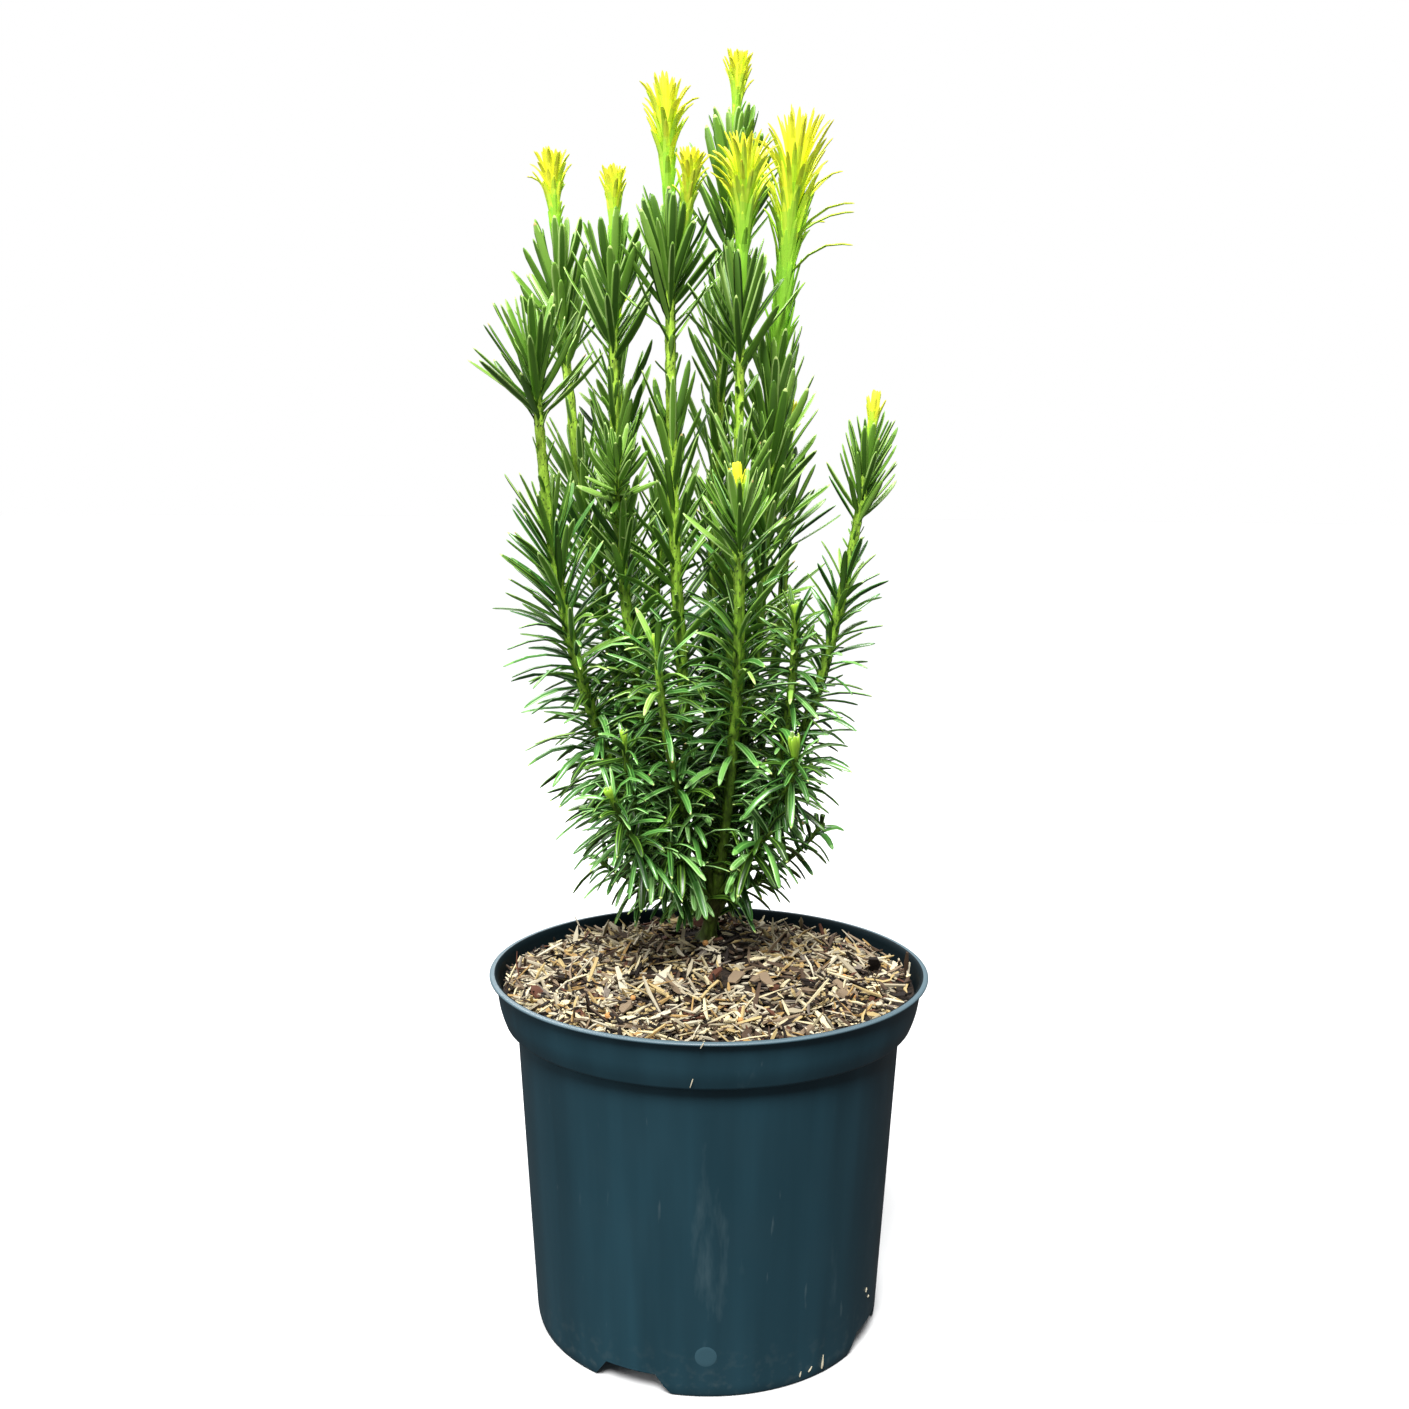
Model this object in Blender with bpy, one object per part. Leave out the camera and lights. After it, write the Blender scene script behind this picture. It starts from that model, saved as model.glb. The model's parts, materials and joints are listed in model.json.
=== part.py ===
# Upright plum yew: a young shrub of several stems, standing in its round nursery pot.
# Metres, +Z up. The origin is the centre of the pot's underside, and -Y is the front.

import math
import random
from collections import namedtuple

import bmesh
import bpy
from mathutils import Matrix, Vector
from mathutils.bvhtree import BVHTree

CLEAR = 0.0003            # gap between neighbouring solids
NEEDLE_CLEAR = 0.0005     # gap round every needle
SEED = 7

# The pot, a standard container 19 cm across its lip
POT_HEIGHT = 0.1555
LIP_RADIUS = 0.0950
LIP_WIDTH = 0.0028
LIP_DEPTH = 0.0014
LIP_ROUND = 0.0006
BAND_TOP_RADIUS = 0.0925
BAND_FOOT_RADIUS = 0.0882
BAND_FOOT_Z = 0.1340
BAND_ROUND = 0.0010
BAND_FLARE = (0.0022, 0.0070)         # how far the band's foot spreads, and over what height
BODY_TOP_RADIUS = 0.0832
BODY_FOOT_RADIUS = 0.0753
FOOT_RADIUS = 0.0743
FOOT_ROUND = 0.0035
WALL = 0.0015
FOOT_WALL = 0.0022
FLOOR_UNDERSIDE_Z = 0.0092
POT_SEGMENTS = 48
SOIL_SEGMENTS = 24
NOTCH_COUNT = 4
NOTCH_TURN = math.radians(-24)        # first notch, from the front towards +X
NOTCH_HEIGHT = 0.0086
NOTCH_WIDTH = 0.0350
NOTCH_ROOF_WIDTH = 0.0222
NOTCH_DEPTH = 0.0120                  # the cutter's, along the radius
NOTCH_DEPTH_INSIDE = 0.6              # share of it inside the foot's edge
NOTCH_BELOW = 0.0020

# The filled pot's compost, mounded a little round the stem
SOIL_EDGE_Z = 0.1475
SOIL_OUTER_RING = (0.066, 0.0022)     # radius, and height over the edge
SOIL_INNER_RING = (0.036, 0.0032)     # radius, and depth under the top
SOIL_SHIFT = 1.15                     # how fast the rings move over to the stem's foot
SOIL_GAP = 0.0004
STEM_FOOT = Vector((-0.001, 0.030, 0.1580))
SOIL_LEVEL_RADIUS = 0.0115            # level patch that the stem stands on

# Stems and needles
FLARE_RADIUS = 0.0072
FLARE_HEIGHT = 0.0060
TRUNK_RADIUS = 0.0040
FORK_RADIUS = 0.0030
FORK_Z = 0.1960
PATH_STEP = 0.0010
CURVE_SAMPLES = 400
RING_STEP = 0.0210
TRUNK_SIDES = 8
TRUNK_RINGS = (0, 2, 5, 10, 18)       # path steps above the foot, closest where it flares
BOUGH_SIDES = 6
TWIG_SIDES = 3
RIM_CORNERS = 10
SEAT_HALVINGS = 6
NEW_STEM_RADII = (0.0008, 0.0010)
NEEDLE = 0.0310
NEEDLE_WIDTH = 0.0064
NEEDLE_THICKNESS = 0.0012
ROOT_WIDTH_SHARE = 0.24
ROOT_DEPTH_SHARE = 0.6
WIDEST_SHARE = 0.58                   # along the needle
ROOT_OFFSET = 0.0004
SCALE_NEEDLE = 0.0110                 # short needle at the joint between two years' growth
YEAR_GROWTH = 0.0560
YEAR_FOOT_FROM = 0.86                 # share of a year's growth below which needles shorten
YEAR_FOOT_SHARE = 0.5                 # how long they are at its foot
TOP_NEEDLE_SHARE = 0.72               # the topmost needles of a rosette
TOP_NEEDLE_REACH = 0.33               # share of the rosette that has shorter needles
ROSETTE_LEAN = (17.0, 42.0)           # degrees from the stem at a rosette's top and foot
YEAR_LEAN = (30.0, 42.0)              # at the top and foot of a year's growth
JOINT_LEAN = 38.0
ROSETTE_STEP = 0.0023
JOINT_STEP = 0.0070
STEM_STEP = 0.0089
TOP_GAP = 0.0012                      # from a shoot's end to its first needle
LENGTH_SPREAD = (0.88, 1.08)
LEAN_SPREAD = 5.0
TURN_SPREAD = 0.15
ROLL_SPREAD = 60.0                    # degrees that a needle is turned about its own length
TURN_TRIES = (0.0, 0.35, -0.35, 0.7)  # a needle in the way is turned by these before it is left out
DROOP_STARTS_Z = 0.3150               # needles spread and droop more and more below this
DROOP_FULL_Z = 0.2300
DROOP_LEAN = 46.0
DROOP_SAG = 0.95
DROOP_SPACING = 0.4
NEW_NEEDLES = 8                       # on each new tip
NEW_STARTS = 0.30                     # share of a new stem that stands bare in the old rosette
NEW_NEEDLE = 0.0210
NEW_NEEDLE_SHARE = 0.65               # the lowest new needles against the topmost
NEW_LEAN = 14.0
REACH = 0.0944                        # no needle passes this far from the pot's axis in X or Y
GOLDEN_ANGLE = math.radians(137.5)

# Each shoot rises from its parent at the height `leaves`, bends over the knee and ends at the
# tip. Its bare bough reaches the height `leafy`, where its foliage begins; with none the shoot
# bears foliage from its foot. The rosette at the top is followed by a thin stretch.
Shoot = namedtuple("Shoot", "name parent leaves knee tip foot_r tip_r leafy rosette thin")
SHOOTS = [
    Shoot("front", "trunk", None, (0.013, -0.010, 0.241), (0.011, -0.031, 0.337),
          0.0028, 0.0016, None, 0.045, 0.018),
    Shoot("left_outer", "trunk", 0.169, (-0.068, -0.008, 0.250), (-0.070, -0.030, 0.412),
          0.0026, 0.0015, 0.205, 0.028, 0.036),
    Shoot("left_tall", "trunk", 0.177, (-0.050, 0.018, 0.246), (-0.065, 0.013, 0.446),
          0.0026, 0.0015, 0.215, 0.047, 0.038),
    Shoot("centre_tall", "trunk", 0.182, (-0.017, 0.005, 0.246), (-0.018, -0.007, 0.452),
          0.0025, 0.0016, 0.212, 0.048, 0.016),
    Shoot("left_mid", "centre_tall", 0.198, (-0.044, 0.003, 0.245), (-0.041, -0.002, 0.446),
          0.0023, 0.0015, 0.222, 0.042, 0.010),
    Shoot("back_tall", "trunk", 0.180, (-0.006, 0.045, 0.247), (0.008, 0.045, 0.498),
          0.0025, 0.0015, 0.220, 0.060, 0.008),
    Shoot("centre_right", "back_tall", 0.199, (0.011, 0.015, 0.258), (0.011, -0.002, 0.426),
          0.0023, 0.0015, 0.232, 0.038, 0.034),
    Shoot("right_lime", "trunk", 0.183, (0.020, 0.020, 0.246), (0.026, 0.018, 0.402),
          0.0025, 0.0015, 0.216, 0.046, 0.000),
    Shoot("right_outer", "trunk", 0.171, (0.046, 0.005, 0.240), (0.064, 0.001, 0.368),
          0.0025, 0.0015, 0.207, 0.042, 0.012),
    Shoot("back_left", "left_tall", 0.189, (-0.034, 0.056, 0.246), (-0.043, 0.053, 0.410),
          0.0023, 0.0015, 0.222, 0.046, 0.020),
    Shoot("back_right", "right_lime", 0.196, (0.033, 0.051, 0.250), (0.034, 0.059, 0.361),
          0.0022, 0.0015, 0.225, 0.046, 0.014),
    Shoot("back_middle", "back_tall", 0.189, (0.006, 0.070, 0.245), (0.004, 0.071, 0.352),
          0.0022, 0.0014, 0.216, 0.046, 0.012),
    Shoot("right_short", "right_outer", 0.195, (0.036, -0.012, 0.250), (0.034, -0.022, 0.312),
          0.0020, 0.0013, 0.220, 0.034, 0.000),
    Shoot("middle_short", "centre_tall", 0.197, (-0.018, -0.032, 0.235), (-0.022, -0.036, 0.300),
          0.0019, 0.0012, 0.214, 0.030, 0.010),
    Shoot("left_fan", "left_mid", 0.345, (-0.039, -0.014, 0.355), (-0.038, -0.020, 0.374),
          0.0014, 0.0010, None, 0.020, 0.000),
    Shoot("back_comb", "back_left", 0.270, (-0.026, 0.052, 0.310), (-0.022, 0.050, 0.350),
          0.0016, 0.0011, None, 0.040, 0.000),
    Shoot("left_bud", "left_outer", 0.200, (-0.034, -0.024, 0.225), (-0.035, -0.034, 0.262),
          0.0016, 0.0011, None, 0.030, 0.000),
    Shoot("left_rosette", "left_outer", 0.181, (-0.028, -0.030, 0.205), (-0.040, -0.046, 0.240),
          0.0017, 0.0012, None, 0.040, 0.000),
    Shoot("left_twig", "left_outer", 0.175, (-0.030, 0.012, 0.186), (-0.048, 0.006, 0.200),
          0.0014, 0.0010, None, 0.030, 0.000),
    Shoot("right_bud", "right_short", 0.226, (0.036, -0.028, 0.238), (0.034, -0.036, 0.256),
          0.0015, 0.0012, None, 0.026, 0.000),
    Shoot("low_front", "trunk", 0.176, (-0.010, -0.006, 0.205), (-0.018, -0.024, 0.216),
          0.0016, 0.0011, None, 0.030, 0.000),
    Shoot("low_front_right", "trunk", 0.178, (0.016, -0.004, 0.205), (0.026, -0.020, 0.220),
          0.0016, 0.0011, None, 0.030, 0.000),
    Shoot("low_right", "right_outer", 0.180, (0.034, 0.008, 0.196), (0.050, 0.008, 0.218),
          0.0016, 0.0011, None, 0.030, 0.000),
    Shoot("low_right_back", "back_right", 0.216, (0.036, 0.030, 0.224), (0.047, 0.044, 0.238),
          0.0016, 0.0011, None, 0.034, 0.000),
    Shoot("low_back", "trunk", 0.168, (0.000, 0.058, 0.184), (-0.004, 0.070, 0.210),
          0.0016, 0.0011, None, 0.034, 0.000),
    Shoot("low_left_back", "back_left", 0.201, (-0.034, 0.042, 0.212), (-0.050, 0.046, 0.230),
          0.0016, 0.0011, None, 0.034, 0.000),
]

# New growth at the shoots' tips: where it ends, how much of it is stem, its widest lean
# and how long its needles are against the usual ones
Growth = namedtuple("Growth", "shoot top stem_share lean size")
NEW_GROWTH = [
    Growth("left_tall", (-0.068, 0.010, 0.499), 0.71, 24, 0.75),
    Growth("left_mid", (-0.041, -0.004, 0.490), 0.72, 22, 0.60),
    Growth("centre_tall", (-0.020, -0.010, 0.522), 0.71, 30, 1.00),
    Growth("back_tall", (0.010, 0.043, 0.5475), 0.71, 24, 0.70),
    Growth("centre_right", (0.012, -0.007, 0.501), 0.69, 34, 1.15),
    Growth("right_lime", (0.035, 0.016, 0.513), 0.75, 36, 1.45),
    Growth("front", (0.0095, -0.037, 0.371), 0.72, 12, 0.45),
    Growth("right_outer", (0.0675, -0.002, 0.402), 0.72, 12, 0.45),
    Growth("back_left", (-0.045, 0.053, 0.455), 0.70, 24, 0.65),
    Growth("back_right", (0.034, 0.061, 0.402), 0.69, 22, 0.60),
]
# One new tip stands beside the centre shoot's own
SIDE_TIP = Shoot("centre_side", "centre_tall", 0.440, (-0.0122, -0.0108, 0.460),
                 (-0.0105, -0.0145, 0.480), 0.0010, 0.0009, None, 0.0, 0.0)
SIDE_TIP_SIZE = 0.65
SIDE_TIP_LEAN = 26

Limb = namedtuple("Limb", "points radii")


def smooth_step(low, high, value):
    share = min(1.0, max(0.0, (value - low) / (high - low)))
    return share * share * (3.0 - 2.0 * share)


def material(name, colour, roughness):
    """A plain Principled material."""
    made = bpy.data.materials.new(name)
    made.use_nodes = True
    shader = made.node_tree.nodes["Principled BSDF"]
    shader.inputs["Base Color"].default_value = (*colour, 1.0)
    shader.inputs["Roughness"].default_value = roughness
    shader.inputs["Metallic"].default_value = 0.0
    made.diffuse_color = (*colour, 1.0)
    return made


def object_from(name, mesh_builder, finish=None):
    """Turn a bmesh into a named object in the scene."""
    mesh = bpy.data.meshes.new(name)
    mesh_builder.to_mesh(mesh)
    mesh_builder.free()
    made = bpy.data.objects.new(name, mesh)
    bpy.context.scene.collection.objects.link(made)
    if finish is not None:
        mesh.materials.append(finish)
    return made


def apply_modifiers(target):
    """Replace an object's mesh by what its modifiers make of it."""
    depsgraph = bpy.context.evaluated_depsgraph_get()
    result = bpy.data.meshes.new_from_object(target.evaluated_get(depsgraph))
    target.modifiers.clear()
    spent = target.data
    target.data = result
    bpy.data.meshes.remove(spent)


def remove_helpers(helpers):
    for helper in helpers:
        bpy.data.objects.remove(helper, do_unlink=True)


def turned(profile, segments):
    """Spin an outline of (radius, height) pairs about the Z axis into a closed solid."""
    shape = bmesh.new()
    points = [shape.verts.new((radius, 0.0, height)) for radius, height in profile]
    edges = [shape.edges.new(pair) for pair in zip(points, points[1:])]
    bmesh.ops.spin(shape, geom=points + edges, cent=(0, 0, 0), axis=(0, 0, 1),
                   angle=math.tau, steps=segments, use_merge=True)
    bmesh.ops.remove_doubles(shape, verts=shape.verts, dist=1e-6)
    bmesh.ops.recalc_face_normals(shape, faces=shape.faces)
    return shape


def pot_inside():
    """The inner wall's outline, from the lip down to the floor."""
    return [
        (BAND_TOP_RADIUS - WALL, POT_HEIGHT - WALL),
        (BAND_FOOT_RADIUS - WALL, BAND_FOOT_Z + WALL),
        (BODY_TOP_RADIUS - WALL, BAND_FOOT_Z - WALL),
        (BODY_FOOT_RADIUS - WALL, FLOOR_UNDERSIDE_Z + WALL),
    ]


def pot_outline():
    """The pot's section: foot ring, tapered body, rolled band, lip, and the inside again."""
    lip_foot_z = POT_HEIGHT - LIP_DEPTH
    foot_inside = FOOT_RADIUS - FOOT_WALL
    return [
        (0.0, FLOOR_UNDERSIDE_Z),
        (foot_inside, FLOOR_UNDERSIDE_Z),
        (foot_inside, 0.0),
        (FOOT_RADIUS, 0.0),
        (BODY_FOOT_RADIUS, FOOT_ROUND),
        (BODY_TOP_RADIUS, BAND_FOOT_Z),
        (BAND_FOOT_RADIUS - BAND_ROUND, BAND_FOOT_Z),
        (BAND_FOOT_RADIUS, BAND_FOOT_Z + BAND_ROUND),
        (BAND_FOOT_RADIUS + BAND_FLARE[0], BAND_FOOT_Z + BAND_FLARE[1]),
        (BAND_TOP_RADIUS, lip_foot_z),
        (LIP_RADIUS - 0.5 * LIP_ROUND, lip_foot_z),
        (LIP_RADIUS, POT_HEIGHT - LIP_ROUND),
        (LIP_RADIUS - LIP_ROUND, POT_HEIGHT),
        (LIP_RADIUS - LIP_WIDTH, POT_HEIGHT),
        *pot_inside(),
        (0.0, FLOOR_UNDERSIDE_Z + WALL),
    ]


def notch_cutter(turn):
    """A wedge with sloped ends that cuts one drainage notch through the foot ring."""
    inner = FOOT_RADIUS - NOTCH_DEPTH_INSIDE * NOTCH_DEPTH
    slope = 0.5 * (NOTCH_WIDTH - NOTCH_ROOF_WIDTH) / NOTCH_HEIGHT
    half_mouth = 0.5 * NOTCH_WIDTH + slope * NOTCH_BELOW
    half_roof = 0.5 * NOTCH_ROOF_WIDTH
    corners = [(-half_mouth, -NOTCH_BELOW), (half_mouth, -NOTCH_BELOW),
               (half_roof, NOTCH_HEIGHT), (-half_roof, NOTCH_HEIGHT)]
    shape = bmesh.new()
    face = shape.faces.new([shape.verts.new((x, -inner, z)) for x, z in corners])
    pulled = bmesh.ops.extrude_face_region(shape, geom=[face])
    moved = [item for item in pulled["geom"] if isinstance(item, bmesh.types.BMVert)]
    bmesh.ops.translate(shape, verts=moved, vec=(0.0, -NOTCH_DEPTH, 0.0))
    bmesh.ops.recalc_face_normals(shape, faces=shape.faces)
    cutter = object_from("notch_cutter", shape)
    cutter.rotation_euler = (0.0, 0.0, turn)
    cutter.hide_render = True
    cutter.display_type = "WIRE"
    return cutter


def make_pot(finish):
    pot = object_from("pot", turned(pot_outline(), POT_SEGMENTS), finish)
    cutters = [notch_cutter(NOTCH_TURN + math.tau * turn / NOTCH_COUNT)
               for turn in range(NOTCH_COUNT)]
    for cutter in cutters:
        cut = pot.modifiers.new("notch", "BOOLEAN")
        cut.operation = "DIFFERENCE"
        cut.object = cutter
    bpy.context.view_layer.update()
    apply_modifiers(pot)
    remove_helpers(cutters)
    pot.data.shade_smooth()
    pot.data.set_sharp_from_angle(angle=math.radians(35))
    return pot


def make_soil(finish):
    """The compost that fills the pot, its top rising to the stem's foot behind the centre."""
    lip, band, shelf, floor = [(radius - SOIL_GAP, height + 0.5 * SOIL_GAP)
                               for radius, height in pot_inside()]
    edge_radius = band[0] + (lip[0] - band[0]) * (SOIL_EDGE_Z - band[1]) / (lip[1] - band[1])
    top_z = STEM_FOOT.z - CLEAR
    outline = [
        (0.0, floor[1] + CLEAR),
        (floor[0], floor[1] + CLEAR),
        shelf,
        band,
        (edge_radius, SOIL_EDGE_Z),
        (SOIL_OUTER_RING[0], SOIL_EDGE_Z + SOIL_OUTER_RING[1]),
        (SOIL_INNER_RING[0], top_z - SOIL_INNER_RING[1]),
        (SOIL_LEVEL_RADIUS, top_z),
        (0.0, top_z),
    ]
    shape = turned(outline, SOIL_SEGMENTS)
    for point in shape.verts:
        if point.co.z > SOIL_EDGE_Z + 0.0001:
            share = 1.0 - math.hypot(point.co.x, point.co.y) / edge_radius
            point.co.x += STEM_FOOT.x * min(1.0, share * SOIL_SHIFT)
            point.co.y += STEM_FOOT.y * min(1.0, share * SOIL_SHIFT)
    return object_from("soil", shape, finish)


def curve_points(foot, knee, tip):
    """Points a millimetre apart on the smooth curve that leaves the foot for the knee and
    ends at the tip."""
    foot, knee, tip = Vector(foot), Vector(knee), Vector(tip)
    rough = [(1 - t) ** 2 * foot + 2 * t * (1 - t) * knee + t * t * tip
             for t in [step / CURVE_SAMPLES for step in range(CURVE_SAMPLES + 1)]]
    points = [rough[0]]
    for point in rough[1:]:
        if (point - points[-1]).length >= PATH_STEP:
            points.append(point)
    return points


def tapered(points, foot_radius, tip_radius):
    last = len(points) - 1
    radii = [foot_radius + (tip_radius - foot_radius) * place / last
             for place in range(len(points))]
    return Limb(points, radii)


def end_gap(point, along, radius, limb):
    """How far a flat round end stands off a limb's surface."""
    side_way = along.orthogonal().normalized()
    other_way = along.cross(side_way)
    rim = [point]
    for corner in range(RIM_CORNERS):
        angle = math.tau * corner / RIM_CORNERS
        rim.append(point + (side_way * math.cos(angle) + other_way * math.sin(angle)) * radius)
    return min((corner - other).length - other_radius
               for corner in rim
               for other, other_radius in zip(limb.points, limb.radii))


def seat(points, radius, parent):
    """Cut off the start of a path, so that what follows it begins just clear of its parent."""
    points = list(points)
    along = (points[1] - points[0]).normalized()
    while end_gap(points[0], along, radius, parent) < CLEAR:
        inside = points.pop(0)
        along = (points[0] - inside).normalized()
    outside = points[0]
    for _ in range(SEAT_HALVINGS):
        middle = inside.lerp(outside, 0.5)
        if end_gap(middle, along, radius, parent) < CLEAR:
            inside = middle
        else:
            outside = middle
    points[0] = outside
    return points


def index_at_height(limb, height):
    return min(range(len(limb.points)), key=lambda place: abs(limb.points[place].z - height))


def slice_limb(limb, first, last):
    return Limb(limb.points[first:last], limb.radii[first:last])


def end_direction(points):
    return (points[-1] - points[-4]).normalized()


def ring_places(limb):
    """Which points of a limb get a ring of corners, evenly spaced."""
    count = max(2, round(len(limb.points) * PATH_STEP / RING_STEP) + 1)
    last = len(limb.points) - 1
    return [round(last * ring / (count - 1)) for ring in range(count)]


def tangents(points):
    last = len(points) - 1
    return [(points[min(last, place + 2)] - points[max(0, place - 2)]).normalized()
            for place in range(len(points))]


def tube(rings, sides):
    """Skin rings of (centre, radius, direction) and close both ends."""
    shape = bmesh.new()
    side_way = rings[0][2].orthogonal().normalized()
    loops = []
    for centre, radius, along in rings:
        side_way = (side_way - along * side_way.dot(along)).normalized()
        other_way = along.cross(side_way)
        loop = []
        for corner in range(sides):
            angle = math.tau * corner / sides
            spoke = side_way * math.cos(angle) + other_way * math.sin(angle)
            loop.append(shape.verts.new(centre + spoke * radius))
        loops.append(loop)
    for lower, upper in zip(loops, loops[1:]):
        for corner in range(sides):
            after = (corner + 1) % sides
            shape.faces.new((lower[corner], lower[after], upper[after], upper[corner]))
    shape.faces.new(list(reversed(loops[0])))
    shape.faces.new(loops[-1])
    return shape


def limb_shape(limb, sides):
    along = tangents(limb.points)
    return tube([(limb.points[place], limb.radii[place], along[place])
                 for place in ring_places(limb)], sides)


def trunk_limb():
    """The main stem's axis and radii, from the level cut at the soil to the fork."""
    front = SHOOTS[0]
    points = [point for point in curve_points(STEM_FOOT, front.knee, front.tip)
              if point.z <= FORK_Z]
    radii = []
    for point in points:
        height = point.z - STEM_FOOT.z
        share = height / (FORK_Z - STEM_FOOT.z)
        flare = math.exp(-height / (0.45 * FLARE_HEIGHT)) * (FLARE_RADIUS - TRUNK_RADIUS)
        radii.append(TRUNK_RADIUS + (FORK_RADIUS - TRUNK_RADIUS) * share + flare)
    return Limb(points, radii)


def make_trunk(limb, finish):
    """The short main stem, with its root flare and its level foot."""
    upright = Vector((0.0, 0.0, 1.0))
    places = [*TRUNK_RINGS, len(limb.points) - 1]
    rings = [(limb.points[place], limb.radii[place], upright) for place in places]
    top = places[-1]
    rings[-1] = (limb.points[top], limb.radii[top], end_direction(limb.points))
    return object_from("trunk", tube(rings, TRUNK_SIDES), finish)


def grow_limbs():
    """Every shoot's whole axis and radii, each starting just clear of its parent."""
    trunk = trunk_limb()
    limbs = {"trunk": trunk}
    for shoot in SHOOTS:
        parent = limbs[shoot.parent]
        if shoot.leaves is None:
            foot = parent.points[-1] + end_direction(parent.points) * CLEAR
            points = curve_points(STEM_FOOT, shoot.knee, shoot.tip)
            points = [foot] + [point for point in points if point.z > foot.z + PATH_STEP]
        else:
            start = parent.points[index_at_height(parent, shoot.leaves)]
            points = seat(curve_points(start, shoot.knee, shoot.tip), shoot.foot_r, parent)
        limbs[shoot.name] = tapered(points, shoot.foot_r, shoot.tip_r)
    return limbs


def blade_rings(root, way, sag, across, length, width, thickness):
    """A needle's corners: a narrow root, its widest section and its point. It leaves along
    `way`, and its outer half bends down by `sag`."""
    face = across.cross(way).normalized()
    if face.z < 0.0:
        face = -face
    outer_way = (way + Vector((0.0, 0.0, -sag))).normalized()
    widest = root + way * (WIDEST_SHARE * length)
    point = widest + outer_way * ((1.0 - WIDEST_SHARE) * length)
    root_half = 0.5 * ROOT_WIDTH_SHARE * width
    root_depth = ROOT_DEPTH_SHARE * thickness
    corners = []
    for centre, half, depth in ((root, root_half, root_depth), (widest, 0.5 * width, thickness)):
        corners.append(centre - across * half)
        corners.append(centre + across * half)
        corners.append(centre - face * depth)
    corners.append(point)
    return corners


BLADE_FACES = [(0, 1, 2), (0, 3, 4), (0, 4, 1), (1, 4, 5), (1, 5, 2), (2, 5, 3), (2, 3, 0),
               (3, 6, 4), (4, 6, 5), (5, 6, 3)]


def blade_object(name, corners):
    shape = bmesh.new()
    points = [shape.verts.new(corner) for corner in corners]
    for face in BLADE_FACES:
        shape.faces.new([points[corner] for corner in face])
    bmesh.ops.recalc_face_normals(shape, faces=shape.faces)
    return object_from(name, shape)


class Space:
    """The solids placed so far, so that a needle that would touch one is left out."""

    def __init__(self):
        self.items = []

    def add(self, owner, corners, faces):
        low = [min(corner[axis] for corner in corners) for axis in range(3)]
        high = [max(corner[axis] for corner in corners) for axis in range(3)]
        self.items.append((owner, low, high, BVHTree.FromPolygons(corners, faces)))

    def add_object(self, owner, placed):
        corners = [placed.matrix_world @ point.co for point in placed.data.vertices]
        faces = [tuple(face.vertices) for face in placed.data.polygons]
        self.add(owner, corners, faces)

    def is_free(self, owner, corners, faces):
        low = [min(corner[axis] for corner in corners) for axis in range(3)]
        high = [max(corner[axis] for corner in corners) for axis in range(3)]
        if min(low[0], low[1]) < -REACH or max(high[0], high[1]) > REACH:
            return False
        tree = BVHTree.FromPolygons(corners, faces)
        for other, other_low, other_high, other_tree in self.items:
            if other == owner:
                continue
            if any(low[axis] > other_high[axis] or high[axis] < other_low[axis]
                   for axis in range(3)):
                continue
            if tree.overlap(other_tree):
                return False
        return True


def between(ends, share):
    return ends[0] + (ends[1] - ends[0]) * share


def needle_habit(shoot, below_tip, height):
    """Length, lean from the stem, sag and spacing of the needle at one place on a shoot."""
    low = 1.0 - smooth_step(DROOP_FULL_Z, DROOP_STARTS_Z, height)
    past = below_tip - shoot.rosette - shoot.thin
    if below_tip < shoot.rosette:
        share = below_tip / shoot.rosette
        length = NEEDLE * between((TOP_NEEDLE_SHARE, 1.0), min(1.0, share / TOP_NEEDLE_REACH))
        lean = between(ROSETTE_LEAN, share)
        step = between((ROSETTE_STEP, STEM_STEP), low * DROOP_SPACING)
    elif past < 0.0:
        length = SCALE_NEEDLE
        lean = JOINT_LEAN
        step = JOINT_STEP
    else:
        share = (past % YEAR_GROWTH) / YEAR_GROWTH
        shortened = smooth_step(YEAR_FOOT_FROM, 1.0, share) * (1.0 - low)
        length = NEEDLE * between((1.0, YEAR_FOOT_SHARE), shortened)
        lean = between(YEAR_LEAN, share)
        step = STEM_STEP
    lean += DROOP_LEAN * low
    return length, math.radians(lean), DROOP_SAG * low, step


def new_growth_habit(growth, share):
    """The same for new growth: its needles hug the stem and flare out towards the top."""
    length = NEW_NEEDLE * growth.size * between((NEW_NEEDLE_SHARE, 1.0), share)
    lean = between((NEW_LEAN, growth.lean), share ** 1.5)
    return length, math.radians(lean)


def needle_frame(along, turn):
    """Unit vectors out of the stem and across the needle, for a turn about the stem."""
    reference = Vector((0.0, 1.0, 0.0)).cross(along).normalized()
    outward = Matrix.Rotation(turn, 3, along) @ reference
    return outward, along.cross(outward).normalized()


def place_needle(space, owner, centre, along, turn, habit):
    """Try a needle and a few turned a little further; give its corners where it is free."""
    length, lean, roll, sag = habit
    for extra in TURN_TRIES:
        outward, flat = needle_frame(along, turn + extra)
        way = along * math.cos(lean) + outward * math.sin(lean)
        across = Matrix.Rotation(roll, 3, way) @ flat
        root = centre + way * ROOT_OFFSET
        size = (length, NEEDLE_WIDTH, NEEDLE_THICKNESS)
        grown = (length + NEEDLE_CLEAR, NEEDLE_WIDTH + 2 * NEEDLE_CLEAR,
                 NEEDLE_THICKNESS + NEEDLE_CLEAR)
        if space.is_free(owner, blade_rings(root, way, sag, across, *grown), BLADE_FACES):
            corners = blade_rings(root, way, sag, across, *size)
            space.add(owner, corners, BLADE_FACES)
            return corners
    return None


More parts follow.
